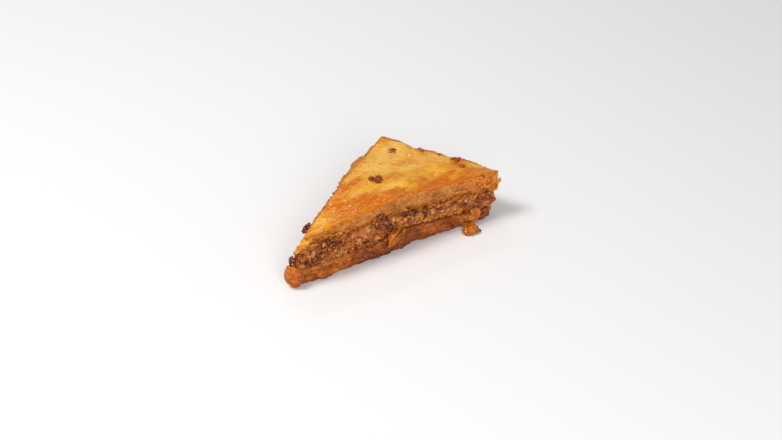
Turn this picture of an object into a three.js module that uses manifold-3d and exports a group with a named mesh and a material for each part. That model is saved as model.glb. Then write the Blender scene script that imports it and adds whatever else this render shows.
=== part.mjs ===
// A slice of baklava: half of an oblong piece cut from corner to corner, with a thin tip and a square corner.
// Pastry sheets soaked in syrup lie at the bottom, ground nuts in the middle, and a domed stack on top.
// Millimetres, +Z up. X runs along the long cut from the thin tip, and the square corner is at the back.
// The origin is under the middle of the slice, on the surface that it rests on.
import * as THREE from 'three';
import { LoftGeometry } from 'three/addons/geometries/LoftGeometry.js';
import { mergeVertices } from 'three/addons/utils/BufferGeometryUtils.js';
import Module from 'manifold-3d';

// ---------------------------------------------------------------- driving dimensions

const LEG_LONG = 115; // thin tip to square corner
const LEG_SHORT = 72; // square corner to far end
const CUT_LEAN = 1.6; // the long cut leans back so far up its height
const CUT_HOLLOW = 2; // and is hollow by so much past its middle
const LID_TIP = 9.6; // the top pastry's tip is cut back so far
const LID_SQUARE = 1.3; // and its square corner stands out so far
const LID_LEDGE = 1.9; // so does its back edge past the middle
const BASE_STACK = 8.5; // height of the bottom pastry
const BASE_FOOT = 0.4; // its foot stands out so far along the cut
const BASE_BULGE = 1.2; // and so much more before the middle
const BASE_LEAN = 2.4; // and its top at the far end
const BASE_THINS = 2.3; // it is thinner by so much at the far end
const FILLING_TOP = 21; // height of the nuts near the thin tip
const FILLING_END = 15; // and towards the far end
const FILLING_PRESS = 3; // the knife has pressed them down at that corner
const CROWN = 27.3; // height of the top over most of the slice
const RIDGE = 4.2; // more along a ridge that runs back from the long cut
const RIDGE_ROLL = 0.42; // and rolls down by this share of it at the cut
const SQUARE_CURL = 1; // the square corner curls up
const TIP_DROP = 2.6; // the knife has pressed the other corners down
const END_DROP = 2.8;
const FRONT_SAG = 0.3; // the top sags along the far part of the long cut
const BACK_SAG = 1.8; // and along the far part of the short side
const TIP_CURL = 3.6; // the bottom sheets curl up round the thin tip
const TIP_LOBE = 4.2; // and swell out there
const TIP_SLOPE = 8; // the nuts slope back so far below the tip of the top pastry
const GAP = 0.3; // between one layer and the next

const STATIONS = 108; // points round the slice
const BASE_BUNDLES = 4; // bundles of sheets that show as separate edges
const LID_BUNDLES = 4;
const NUT_ROWS = 7;
const NUTS = 29;

const CUT = Math.hypot(LEG_LONG, LEG_SHORT);
const TIP = new THREE.Vector2(0, 0);
const END = new THREE.Vector2(CUT, 0);
const SQUARE = new THREE.Vector2(LEG_LONG ** 2, LEG_LONG * LEG_SHORT).divideScalar(CUT);
const HEART = new THREE.Vector2(0.66 * CUT, 0.19 * CUT); // about as far from all three sides

const wasm = await Module();
wasm.setup();

// ---------------------------------------------------------------- numbers

const mix = THREE.MathUtils.lerp;
const smooth = (x) => THREE.MathUtils.smoothstep(x, 0, 1);
const hill = (distance, width) => Math.exp(-((distance / width) ** 2));
const away = (x, y, point) => Math.hypot(x - point.x, y - point.y);

// A number from 0 to 1 that looks random, and is the same for the same two numbers.
function chance(n, seed) {
  const v = Math.sin(n * 127.1 + seed * 311.7) * 43758.5453;
  return v - Math.floor(v);
}

// Smooth noise from -1 to 1 round the slice, with so many cells in one turn.
function ripple(turn, cells, seed) {
  const at = turn * cells;
  const cell = Math.floor(at);
  const here = chance(cell % cells, seed);
  const next = chance((cell + 1) % cells, seed);
  return 2 * mix(here, next, smooth(at - cell)) - 1;
}

// ---------------------------------------------------------------- levels over the plan

// The top of the slice.
function crownAt(x, y) {
  const roll = 1 - RIDGE_ROLL * hill(y - 2, 10);
  const ridge = RIDGE * roll * hill(x - 0.475 * CUT, 24) * hill(y - 3, 42);
  const fromShortSide = ((CUT - x) * LEG_LONG - y * LEG_SHORT) / CUT;
  const front = FRONT_SAG * smooth((x - 0.6 * CUT) / 14) * hill(y, 22);
  const back = BACK_SAG * smooth((x - 0.76 * CUT) / 6) * smooth(y / 8) * hill(fromShortSide, 9);
  const corners = TIP_DROP * hill(away(x, y, TIP), 25) + END_DROP * hill(away(x, y, END), 14);
  return CROWN + ridge - front - back - corners + SQUARE_CURL * hill(away(x, y, SQUARE), 9);
}

// The line between the nuts and the top pastry rises and falls along the long cut: [place, rise, width].
const FILLING_WAVES = [
  [0.31 * CUT, -1.2, 9],
  [0.42 * CUT, 1.3, 5],
  [0.65 * CUT, -1.6, 7],
];

// The top of the nuts.
function fillingAt(x, y) {
  const slant = (FILLING_TOP - FILLING_END) * smooth((x - 0.26 * CUT) / (0.77 * CUT));
  const corners = 2 * hill(away(x, y, TIP), 16) + FILLING_PRESS * hill(away(x, y, END), 10);
  const waves = FILLING_WAVES.reduce((sum, [place, rise, width]) => sum + rise * hill(x - place, width), 0);
  return FILLING_TOP - slant - corners + waves * hill(y, 14);
}

// The top of the bottom pastry, curled up round the thin tip and raised at the middle of the long cut.
function baseAt(x, y) {
  const curl = TIP_CURL * hill(Math.hypot(x - 3.5, y - 1.5), 6);
  const rise = 1.5 * hill(Math.hypot(x - 0.53 * CUT, y), 13);
  return BASE_STACK + curl + rise - BASE_THINS * smooth((x - 0.7 * CUT) / 25);
}

// The top sheets lie in overlapping pieces: each wavy line across the slice is the step of one sheet.
function sheetEdges(x, y) {
  const step = (angle, distance, phase) => {
    const across = x * Math.cos(angle) + y * Math.sin(angle) - distance;
    const along = x * Math.sin(angle) - y * Math.cos(angle);
    return smooth(0.5 + (across + 2.5 * Math.sin(0.13 * along + phase)) / 6);
  };
  const raised = step(0.5, 58, 1) - step(-0.3, 74, 2.4) + step(0.15, 104, 4.1);
  return 0.5 * raised + 0.35 * Math.sin(0.21 * x + 0.4) * Math.sin(0.27 * y + 1.1);
}

const glazeAt = (x, y) => crownAt(x, y) + sheetEdges(x, y);

// ---------------------------------------------------------------- plans and rings

// A plan with rounded corners, set in from its sides, as even points with outward directions.
// Its first side, along the long cut, is hollow past the middle.
// Each point is calm = 0 at a corner, where the edge stays even, and 1 away from it.
function planOf(corners, setIn, radii) {
  const shape = new THREE.Shape();
  corners.forEach((corner, i) => {
    const before = corners[(i + 2) % 3].clone().sub(corner).normalize();
    const after = corners[(i + 1) % 3].clone().sub(corner).normalize();
    const half = Math.acos(before.dot(after)) / 2;
    const inward = before.add(after).normalize();
    const centre = corner.clone().addScaledVector(inward, (radii[i] + setIn) / Math.sin(half));
    const facing = Math.atan2(-inward.y, -inward.x);
    const sweep = Math.PI / 2 - half;
    shape.absarc(centre.x, centre.y, radii[i], facing - sweep, facing + sweep, false);
  });
  shape.closePath();
  const points = shape.getSpacedPoints(STATIONS).slice(0, STATIONS);
  return points.map((p, i) => {
    const next = points[(i + 1) % STATIONS];
    const along = next.clone().sub(points.at(i - 1)).normalize();
    const nearest = Math.min(...corners.map((corner) => corner.distanceTo(p)));
    const calm = smooth((nearest - 3) / 9);
    const y = p.y + CUT_HOLLOW * hill(p.x - 0.59 * CUT, 24) * hill(p.y, 8);
    return { x: p.x, y, outX: along.y, outY: -along.x, turn: i / STATIONS, calm };
  });
}

// One ring: the plan pushed out by reach(p) and drawn to the heart by share, at the height level(x, y, p).
// Slope moves its thin tip back along the slice.
function ringOf(plan, reach, level, share = 1, slope = 0) {
  return plan.map((p) => {
    const x = mix(HEART.x, p.x + p.outX * reach(p), share) + slope * hill(p.x, 13);
    const y = mix(HEART.y, p.y + p.outY * reach(p), share);
    return new THREE.Vector3(x, y, level(x, y, p));
  });
}

// Rings that close a hidden face towards the heart, drawn back from the neighbour that side points to.
function hiddenRings(plan, reach, level, side, slope = 0) {
  const even = (x, y) => level(x, y, { turn: 0, calm: 0 }) - (side * GAP) / 2;
  return [0.93, 0.8, 0.4].map((share) => ringOf(plan, reach, even, share, slope * share ** 2));
}

// ---------------------------------------------------------------- solids

// A closed solid of a geometry, without the triangles that collapse where points meet.
function solidOf(geometry) {
  const bare = new THREE.BufferGeometry().copy(geometry);
  bare.deleteAttribute('normal');
  bare.deleteAttribute('uv');
  const merged = mergeVertices(bare, 1e-4);
  const corners = merged.index.array;
  const kept = [];
  for (let i = 0; i < corners.length; i += 3) {
    const [a, b, c] = corners.slice(i, i + 3);
    if (a !== b && b !== c && c !== a) kept.push(a, b, c);
  }
  return new wasm.Manifold(
    new wasm.Mesh({
      numProp: 3,
      vertProperties: merged.attributes.position.array,
      triVerts: new Uint32Array(kept),
    }),
  );
}

// The largest body of a solid, without loose scraps.
function geometryOf(solid) {
  const [body] = solid.decompose().sort((a, b) => b.volume() - a.volume());
  const mesh = body.getMesh();
  const geometry = new THREE.BufferGeometry();
  geometry.setAttribute('position', new THREE.BufferAttribute(mesh.vertProperties, 3));
  geometry.setIndex(new THREE.BufferAttribute(mesh.triVerts, 1));
  geometry.computeVertexNormals();
  return geometry;
}

// A layer lofted through rings and closed by a fan of triangles at each end.
function layerOf(rings) {
  const fan = (ring) => {
    const centre = new THREE.Vector3();
    ring.forEach((p) => centre.addScaledVector(p, 1 / ring.length));
    return ring.map(() => centre);
  };
  return solidOf(new LoftGeometry([fan(rings[0]), ...rings, fan(rings.at(-1))]));
}

const fuse = (whole, extras) => extras.reduce((sum, extra) => sum.add(extra), whole);

// ---------------------------------------------------------------- stacks of pastry sheets

// How far one bundle of sheets stands out: a slow wave, a ragged edge and a few torn tongues.
function bundleReach(p, bundle, seed) {
  const wave = 0.5 * ripple(p.turn, 17, seed);
  const ragged = 0.5 * ripple(p.turn, 60, seed + bundle);
  const torn = ripple(p.turn, 31, seed + 20 + bundle);
  const tongue = 1.5 * smooth((torn - 0.55) / 0.35) - 0.9 * smooth((-torn - 0.6) / 0.3);
  return p.calm * (wave + ragged + tongue);
}

// The rings up the side of a stack: each bundle is a lip with a groove above it.
// A stack that is grown, to cut room for it out of a neighbour, has no grooves.
function stackSide({ plan, bundles, seed, floor, roof, lobe = () => 0, grow = 0 }) {
  const reachOf = (bundle) => (p) => bundleReach(p, bundle, seed) + lobe(p, bundle / (bundles - 1)) + grow;
  const level = (share) => (x, y, p) => {
    const wander = share > 0 && share < 1 ? 0.25 * ripple(p.turn, 24, seed + 40) : 0;
    return mix(floor(x, y, p), roof(x, y, p), share) + wander;
  };
  const lip = 0.14 / bundles;
  const rings = [];
  for (let bundle = 0; bundle < bundles; bundle++) {
    const low = bundle / bundles;
    const high = (bundle + 1) / bundles;
    const reach = reachOf(bundle);
    rings.push(ringOf(plan, reach, level(bundle > 0 ? low + lip : 0)));
    if (bundle === bundles - 1) {
      rings.push(ringOf(plan, reach, level(1)));
      break;
    }
    const above = reachOf(bundle + 1);
    const groove = (p) => Math.min(reach(p), above(p)) - mix(0.35, 0.9, p.calm);
    const filled = (p) => Math.max(reach(p), above(p));
    rings.push(ringOf(plan, reach, level(high - lip)));
    rings.push(ringOf(plan, grow > 0 ? filled : groove, level(high)));
  }
  return rings;
}

const BASE_SEED = 145;
const LID_SEED = 11;
const basePlan = planOf([TIP, END, SQUARE], 0.2, [2.2, 9, 2.4]);
const lidTip = new THREE.Vector2(LID_TIP, CUT_LEAN);
const lidEnd = new THREE.Vector2(CUT - (CUT_LEAN * LEG_SHORT) / LEG_LONG, CUT_LEAN);
const lidSquare = SQUARE.clone().addScalar(LID_SQUARE);
const lidPlan = planOf([lidTip, lidEnd, lidSquare], 0.5, [1.4, 2.2, 1]);

const baseTop = (gap) => (x, y, p) => baseAt(x, y) + gap + 0.35 * p.calm * ripple(p.turn, 19, 71);
const fillingTop = (gap) => (x, y, p) => fillingAt(x, y) + gap + 0.3 * p.calm * ripple(p.turn, 19, 83);

// The round lobe at the thin tip is widest past the middle of the stack's height.
// The foot of the cut stands out, most before its middle, and at the far end the side leans out.
function baseLobe(p, share) {
  const profile = 0.45 + 0.7 * Math.sin(0.85 * Math.PI * share);
  const lobe = TIP_LOBE * profile * hill(Math.hypot(p.x - 5, p.y - 2), 4.5);
  const foot = (BASE_FOOT + BASE_BULGE * hill(p.x - 0.4 * CUT, 28)) * (1 - 0.7 * share) * hill(p.y, 8);
  return lobe + foot + BASE_LEAN * share * hill(away(p.x, p.y, END), 14);
}

// The back edge of the top pastry stands out from the middle on, less and less towards the square corner.
function lidLobe(p) {
  const onBack = smooth(p.outY);
  return LID_LEDGE * onBack * smooth((p.x - 0.39 * CUT) / 5) * (1 - smooth((p.x - 0.46 * CUT) / 36));
}

function bottomPastry(grow = 0) {
  const roof = baseTop(grow - GAP / 2);
  const side = stackSide({
    plan: basePlan,
    bundles: BASE_BUNDLES,
    seed: BASE_SEED,
    floor: () => 0,
    roof,
    lobe: baseLobe,
    grow,
  });
  const reach = (p) => bundleReach(p, BASE_BUNDLES - 1, BASE_SEED);
  return layerOf([...side, ...hiddenRings(basePlan, reach, roof, 1)]);
}

function topPastry() {
  const floor = fillingTop(GAP / 2);
  const side = stackSide({
    plan: lidPlan,
    bundles: LID_BUNDLES,
    seed: LID_SEED,
    floor,
    roof: (x, y) => crownAt(x, y) - 0.5,
    lobe: lidLobe,
  });
  const under = (p) => bundleReach(p, 0, LID_SEED) + lidLobe(p);
  const over = (p) => bundleReach(p, LID_BUNDLES - 1, LID_SEED) + lidLobe(p);
  const roof = [0.975, 0.88, 0.74, 0.58, 0.4, 0.2].map((share) => ringOf(lidPlan, over, glazeAt, share));
  return layerOf([...hiddenRings(lidPlan, under, floor, -1).reverse(), ...side, ...roof]);
}

// ---------------------------------------------------------------- ground nuts

const nutPlan = planOf([TIP, END, SQUARE], 1.1, [1.4, 5, 2.2]);

function nutMeal(grow = 0) {
  const floor = baseTop(GAP - grow);
  const roof = fillingTop(grow - GAP / 2);
  const side = [];
  for (let row = 0; row <= NUT_ROWS; row++) {
    const share = row / NUT_ROWS;
    const bulge = 1.1 * Math.sin(Math.PI * share) - 0.4;
    const bump = (p) => 2 * chance(Math.round(p.turn * STATIONS), 90 + row) - 1;
    const reach = (p) => bulge + 0.75 * mix(0.4, 1, p.calm) * bump(p) + grow;
    const level = (x, y, p) => mix(floor(x, y, p), roof(x, y, p), share);
    side.push(ringOf(nutPlan, reach, level, 1, TIP_SLOPE * share));
  }
  const even = () => 0;
  const low = hiddenRings(nutPlan, even, floor, -1).reverse();
  const high = hiddenRings(nutPlan, even, roof, 1, TIP_SLOPE);
  return layerOf([...low, ...side, ...high]);
}

// One piece of nut: an uneven twenty-faced lump, turned by chance.
function nut(x, y, z, size, seed) {
  const lump = new THREE.IcosahedronGeometry(size / 2, 0);
  const stretch = [0, 1, 2].map((axis) => 0.75 + 0.5 * chance(axis, seed));
  const turn = [3, 4, 5].map((axis) => Math.PI * chance(axis, seed));
  lump.scale(...stretch);
  lump.rotateX(turn[0]).rotateY(turn[1]).rotateZ(turn[2]);
  return solidOf(lump.translate(x, y, z));
}

// The larger nuts that stand out of the meal all round, spread up its side by the golden ratio.
function nutsInSide() {
  return Array.from({ length: NUTS }, (_, k) => {
    const p = nutPlan[Math.floor(((k + 0.5 * chance(k, 5)) / NUTS) * STATIONS)];
    const share = mix(0.14, 0.84, (k * 0.61803) % 1);
    const x = p.x + 0.3 * p.outX + TIP_SLOPE * share * hill(p.x, 13);
    const z = mix(baseAt(p.x, p.y), fillingAt(p.x, p.y), share);
    return nut(x, p.y + 0.3 * p.outY, z, 2.4 + 2.2 * chance(k, 6), 200 + k);
  });
}

// Nuts that stand out at the thin tip and behind it: [x, y, z, size].
const EDGE_NUTS = [
  [6.2, 3.5, 14.1, 4.6],
  [22.5, 14.2, 20.4, 3.8],
  [22.0, 13.8, 22.6, 3.2],
  [18.6, 11.9, 21.4, 3.8],
];

const nutsAtEdge = () => EDGE_NUTS.map((place, k) => nut(...place, 260 + k));

// Crumbs of nut on the glazed top: [place along, place back, bits, size of a bit].
const CRUMB_CLUSTERS = [
  [67.4, 20.7, 3, 3.6],
  [94.2, 45.1, 2, 3.0],
  [108.9, 39.6, 2, 3.2],
  [114.6, 31.2, 1, 2.2],
  [119.0, 21.6, 3, 2.9],
  [116.9, 14.0, 2, 2.2],
];

function crumbsOnTop() {
  return CRUMB_CLUSTERS.flatMap(([x, y, bits, size], cluster) =>
    Array.from({ length: bits }, (_, k) => {
      const angle = 2.4 * k + cluster;
      const spread = bits > 1 ? 0.5 * size : 0;
      const at = [x + spread * Math.cos(angle), y + spread * Math.sin(angle)];
      return nut(...at, glazeAt(...at) + 0.18 * size, size, 300 + 10 * cluster + k);
    }),
  );
}

// ---------------------------------------------------------------- loose flakes

// A flake of sheets: a flat strip carried along a curve, narrower at both ends, its section tilted about Y.
function flake(points, width, thickness, tilt = 0) {
  const steps = 6;
  const curve = new THREE.CatmullRomCurve3(points.map((p) => new THREE.Vector3(...p)));
  const sections = [];
  for (let i = 0; i <= steps; i++) {
    const at = curve.getPoint(i / steps);
    const along = curve.getTangent(i / steps);
    const across = new THREE.Vector3(Math.cos(tilt), 0, Math.sin(tilt));
    across.addScaledVector(along, -across.dot(along)).normalize();
    const up = across.clone().cross(along).normalize();
    const half = (width / 2) * (0.72 + 0.28 * Math.sin((Math.PI * (i + 0.6)) / (steps + 1)));
    const rise = thickness / 2;
    const corner = (a, b) => at.clone().addScaledVector(across, a * half).addScaledVector(up, b * rise);
    sections.push([corner(-1, -1), corner(-1, 1), corner(1, 1), corner(1, -1)]);
  }
  return solidOf(new LoftGeometry(sections, { capStart: true, capEnd: true }));
}

// A torn curl of the bottom sheets at the foot of the long cut.
function footCurl() {
  const x = 0.83 * CUT;
  const lower = flake([[x + 1, 1.8, 2.6], [x - 1.2, -3.2, 3], [x - 5.6, -8.8, 1.2]], 8, 1.1);
  const upper = flake([[x + 0.4, 2.6, 6.2], [x + 1.7, -1.3, 5.6], [x + 2.2, -2.9, 1.4]], 7.5, 1);
  return [lower, upper];
}

// Shreds of sheet that hang over the nuts at the middle of the long cut.
function shreds() {
  const x = 0.49 * CUT;
  const long = flake([[x + 2, 0.9, 15.5], [x - 3, -0.5, 11.5], [x - 8, 0.2, 7.2]], 2.6, 0.9, 0.9);
  const short = flake([[x + 7, 1.2, 14], [x + 3, -0.3, 10.6], [x - 1.5, 0.4, 6.6]], 2.2, 0.9, 0.9);
  return [long, short];
}

// A flap of the top sheets that droops over the thin tip, and a torn corner at the far end.
function topFlakes() {
  const x = CUT - 4.5;
  const flap = flake([[20, 5, 22.6], [15.4, 4.2, 21.6], [11.8, 3.4, 17.4]], 5.6, 1.1, 0.4);
  const torn = flake([[x - 3, 3.4, 17.6], [x - 0.5, 3, 17.9], [x + 2.8, 2.8, 18.6]], 3.6, 0.9, 1.3);
  return [flap, torn];
}

// ---------------------------------------------------------------- the slice

function layerMesh(name, solid, color, roughness) {
  const material = new THREE.MeshStandardMaterial({ color, roughness, metalness: 0 });
  const mesh = new THREE.Mesh(geometryOf(solid), material);
  mesh.name = name;
  return mesh;
}

// Flakes of the pastry stacks keep a gap to the nuts that they pass.
const clear = (flakes) => flakes.map((piece) => piece.subtract(nutMeal(GAP)));

const bottom = fuse(bottomPastry(), clear(footCurl()));
const nuts = [...nutsInSide(), ...nutsAtEdge()];
const filling = fuse(nutMeal(), [...nuts, ...shreds()]).subtract(bottomPastry(GAP));
const top = fuse(topPastry(), [...crumbsOnTop(), ...clear(topFlakes())]);

const slice = new THREE.Group();
slice.add(
  layerMesh('bottom_pastry', bottom, 0xa9561f, 0.35),
  layerMesh('nut_filling', filling, 0x8a5530, 0.5),
  layerMesh('top_pastry', top, 0xdc9a45, 0.25),
);

// Centres the slice over the origin.
const extent = new THREE.Box3().setFromObject(slice);
const middle = extent.getCenter(new THREE.Vector3());
slice.position.set(-middle.x, -middle.y, -extent.min.z);

export default slice;
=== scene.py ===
"""A slice of baklava on a pale floor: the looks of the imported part, built round its three layers.

Lengths are millimetres. Places on the slice's plan are measured from the sharp corner of its thin tip,
before that is rounded: x along the long cut, y away from it, z up. add_piece moves a mesh to the part's
frame, in metres.
"""

import functools
import math

import bpy
import numpy as np
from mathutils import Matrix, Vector


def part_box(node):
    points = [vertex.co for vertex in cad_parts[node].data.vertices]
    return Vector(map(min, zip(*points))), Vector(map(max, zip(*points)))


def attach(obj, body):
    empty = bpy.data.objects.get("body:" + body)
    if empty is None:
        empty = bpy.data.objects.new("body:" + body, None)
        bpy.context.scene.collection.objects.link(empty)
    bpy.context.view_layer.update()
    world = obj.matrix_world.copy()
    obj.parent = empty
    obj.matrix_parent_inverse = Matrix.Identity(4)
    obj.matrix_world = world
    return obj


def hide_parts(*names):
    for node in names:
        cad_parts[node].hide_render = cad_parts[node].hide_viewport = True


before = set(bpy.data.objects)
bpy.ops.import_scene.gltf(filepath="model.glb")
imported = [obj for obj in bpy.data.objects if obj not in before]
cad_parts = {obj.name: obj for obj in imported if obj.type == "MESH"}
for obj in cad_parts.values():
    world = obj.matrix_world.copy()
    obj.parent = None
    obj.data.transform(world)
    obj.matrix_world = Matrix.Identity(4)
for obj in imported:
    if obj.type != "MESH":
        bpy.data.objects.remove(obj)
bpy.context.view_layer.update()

# ---------------------------------------------------------------- sizes

MM = 0.001

# Legs of the oblong portion that the slice is cut from, corner to corner.
LEG_LONG = 115.0
LEG_SHORT = 72.0

# How far the long cut leans back, and how hollow it is past its middle.
CUT_LEAN = 1.6
CUT_HOLLOW = 2.0

# Top pastry: start of its thin tip, and how far its square corner and its back ledge stand out.
LID_TIP = 9.6
LID_SQUARE = 1.3
LID_LEDGE = 1.9

# Bottom pastry: height, rise at the middle of the cut, foot, bulge of the foot, lean of the far end, and
# how much it thins there.
BASE_STACK = 8.5
BASE_RISE = 1.5
BASE_FOOT = 0.4
BASE_BULGE = 1.2
BASE_LEAN = 2.4
BASE_THINS = 2.3

# Top of the nuts: height at the thin tip and at the far end, and how far the far end is pressed down.
FILLING_TOP = 21.0
FILLING_END = 15.0
FILLING_PRESS = 3.0

# Top of the slice: height, ridge, how much the ridge rolls off at the cut, curl, drops and sags.
CROWN = 27.3
RIDGE = 4.2
RIDGE_ROLL = 0.42
SQUARE_CURL = 1.0
TIP_DROP = 2.6
END_DROP = 2.8
FRONT_SAG = 0.3
BACK_SAG = 1.8

# Thin tip: curl and round lobe of the bottom pastry, and how far the nuts slope back above it.
TIP_CURL = 3.6
TIP_LOBE = 4.2
TIP_SLOPE = 8.0

# Thickness of the glazed sheet.
GLAZE = 0.35

# Stacks of sheets: number of sheets, bundles that they stand out by, size of their crags, and seeds.
BASE_SHEETS = 10
LID_SHEETS = 11
BUNDLES = 4
BASE_CRAGS = 0.6
LID_CRAGS = 0.5
BASE_SEED = 145
LID_SEED = 11

# Seed of the darker and paler clumps of nut.
CLUMP_SEED = 91

CUT = math.hypot(LEG_LONG, LEG_SHORT)
TIP = np.array([0.0, 0.0])
END = np.array([CUT, 0.0])
SQUARE = np.array([LEG_LONG**2, LEG_LONG * LEG_SHORT]) / CUT
HEART = np.array([0.66 * CUT, 0.19 * CUT])

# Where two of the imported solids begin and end, measured from the sharp corner of the tip: their boxes
# then give the place of that corner in the part's frame.
BASE_STARTS_X = 1.77
LID_REACHES_Y = 60.93
SHIFT = np.array(
    [
        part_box("bottom_pastry")[0].x / MM - BASE_STARTS_X,
        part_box("top_pastry")[1].y / MM - LID_REACHES_Y,
        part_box("bottom_pastry")[0].z / MM,
    ]
)


# ---------------------------------------------------------------- numbers


def smooth(x):
    """0 below 0, 1 above 1, and 3t^2 - 2t^3 between."""
    t = np.clip(x, 0, 1)
    return t * t * (3 - 2 * t)


def mix(a, b, share):
    """A blend that is a at share 0 and b at share 1."""
    return a + (b - a) * share


def hill(distance, width):
    """A bell that is 1 at distance 0."""
    return np.exp(-((distance / width) ** 2))


def away(x, y, point):
    """Distance in plan from a point."""
    return np.hypot(x - point[0], y - point[1])


def chance(n, seed):
    """A number from 0 to 1 for each whole n: the fraction of a large sine."""
    v = np.sin(np.asarray(n, float) * 127.1 + seed * 311.7) * 43758.5453
    return v - np.floor(v)


def ripple(turn, cells, seed):
    """Smooth noise from -1 to 1 round the slice, with so many cells in one turn."""
    at = turn * cells
    cell = np.floor(at)
    here = chance(np.mod(cell, cells), seed)
    after = chance(np.mod(cell + 1, cells), seed)
    return 2 * mix(here, after, smooth(at - cell)) - 1


def grain(x, y, z, seed):
    """Smooth noise from -1 to 1 in space: values at the corners of a unit lattice, eased between."""
    corner = [np.floor(v) for v in (x, y, z)]
    ease = [smooth(v - c) for v, c in zip((x, y, z), corner)]

    def value(dx, dy, dz):
        """The lattice value at one corner: the fraction of a large sine."""
        total = (corner[0] + dx) * 127.1 + (corner[1] + dy) * 311.7 + (corner[2] + dz) * 74.7
        v = np.sin(total + seed * 53.3) * 43758.5453
        return v - np.floor(v)

    planes = []
    for dz in (0, 1):
        near = mix(value(0, 0, dz), value(1, 0, dz), ease[0])
        far = mix(value(0, 1, dz), value(1, 1, dz), ease[0])
        planes.append(mix(near, far, ease[1]))
    return 2 * mix(planes[0], planes[1], ease[2]) - 1


def rough_grain(x, y, z, seed, size, octaves=3):
    """Grain of a size, plus finer and weaker layers of it."""
    total, weight = 0.0, 1.0
    for octave in range(octaves):
        step = size / 2**octave
        total = total + weight * grain(x / step, y / step, z / step, seed + octave)
        weight *= 0.5
    return total / 1.75


# ---------------------------------------------------------------- levels of the slice


def crown_at(x, y):
    """Height of the top: a ridge that runs back from the long cut, with sags along both far edges, a
    drop at the tip and at the far end, and a curl at the square corner."""
    ridge = RIDGE * hill(x - 0.475 * CUT, 24) * hill(y - 3, 42) * (1 - RIDGE_ROLL * hill(y - 2, 10))
    from_short_side = ((CUT - x) * LEG_LONG - y * LEG_SHORT) / CUT
    front = FRONT_SAG * smooth((x - 0.6 * CUT) / 14) * hill(y, 22)
    back = BACK_SAG * smooth((x - 0.76 * CUT) / 6) * smooth(y / 8) * hill(from_short_side, 9)
    corners = TIP_DROP * hill(away(x, y, TIP), 25) + END_DROP * hill(away(x, y, END), 14)
    return CROWN + ridge - front - back - corners + SQUARE_CURL * hill(away(x, y, SQUARE), 9)


# The line between the nuts and the top pastry rises and falls along the long cut: place, rise and width.
FILLING_WAVES = [(0.31 * CUT, -1.2, 9), (0.42 * CUT, 1.3, 5), (0.65 * CUT, -1.6, 7)]


def filling_at(x, y):
    """Height of the top of the nuts. It slants down to the far end, is pressed down at both thin
    corners, and rises and falls along the cut."""
    slant = (FILLING_TOP - FILLING_END) * smooth((x - 0.26 * CUT) / (0.77 * CUT))
    corners = 2 * hill(away(x, y, TIP), 16) + FILLING_PRESS * hill(away(x, y, END), 10)
    waves = sum(rise * hill(x - place, width) for place, rise, width in FILLING_WAVES)
    return FILLING_TOP - slant - corners + waves * hill(y, 14)


def base_at(x, y):
    """Height of the top of the bottom pastry: curled up at the tip, raised at mid-cut, then thinner."""
    curl = TIP_CURL * hill(np.hypot(x - 3.5, y - 1.5), 6)
    rise = BASE_RISE * hill(np.hypot(x - 0.53 * CUT, y), 13)
    return BASE_STACK + curl + rise - BASE_THINS * smooth((x - 0.7 * CUT) / 25)


def sheet_edges(x, y):
    """Relief of the overlapping top sheets: each wavy line across the slice is the step of one sheet."""

    def step(angle, distance, phase):
        """A rise from 0 to 1 across a wavy line that lies at a distance and an angle."""
        across = x * np.cos(angle) + y * np.sin(angle) - distance
        along = x * np.sin(angle) - y * np.cos(angle)
        return smooth(0.5 + (across + 2.5 * np.sin(0.13 * along + phase)) / 6)

    raised = step(0.5, 58, 1) - step(-0.3, 74, 2.4) + step(0.15, 104, 4.1)
    return 0.5 * raised + 0.35 * np.sin(0.21 * x + 0.4) * np.sin(0.27 * y + 1.1)


def torn_lines(x, y):
    """Lines where thin sheets end on the glaze, from 0 to 1: bands where stretched noise is near zero."""
    slant = rough_grain(x * 0.30 + y * 0.16, y * 0.8 - x * 0.42, 0 * x, 5, 9.0, 2)
    cross = rough_grain(x * 0.8 + y * 0.6, y * 0.30 - x * 0.1, 0 * x, 9, 11.0, 2)
    return np.maximum(smooth(1 - np.abs(slant) / 0.07), 0.8 * smooth(1 - np.abs(cross) / 0.05))


# Blisters of syrup under the glazed sheet: place and size.
BLISTERS = [(29.5, 16.2, 2.2), (32.5, 12.4, 1.6), (43.5, 11.6, 2.0), (41.0, 15.5, 1.5), (36.5, 9.0, 1.8)]


def creases(x, y):
    """Fine relief of the glazed sheet: torn lines, broad waves and blisters of syrup near the tip."""
    waves = 0.34 * rough_grain(x, y, 0 * x, 15, 9.0, 2) + 0.10 * rough_grain(x, y, 0 * x, 18, 2.4, 2)
    blisters = sum(0.55 * hill(np.hypot(x - bx, y - by), size * 0.6) for bx, by, size in BLISTERS)
    return 0.16 * torn_lines(x, y) + waves + blisters


def glaze_at(x, y):
    """Height of the glazed top with its relief."""
    return crown_at(x, y) + sheet_edges(x, y) + creases(x, y)


# ---------------------------------------------------------------- plans and rings


# Points round a plan, and points of the arc at each corner of it.
PLAN_POINTS = 900
ARC_POINTS = 40


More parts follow.
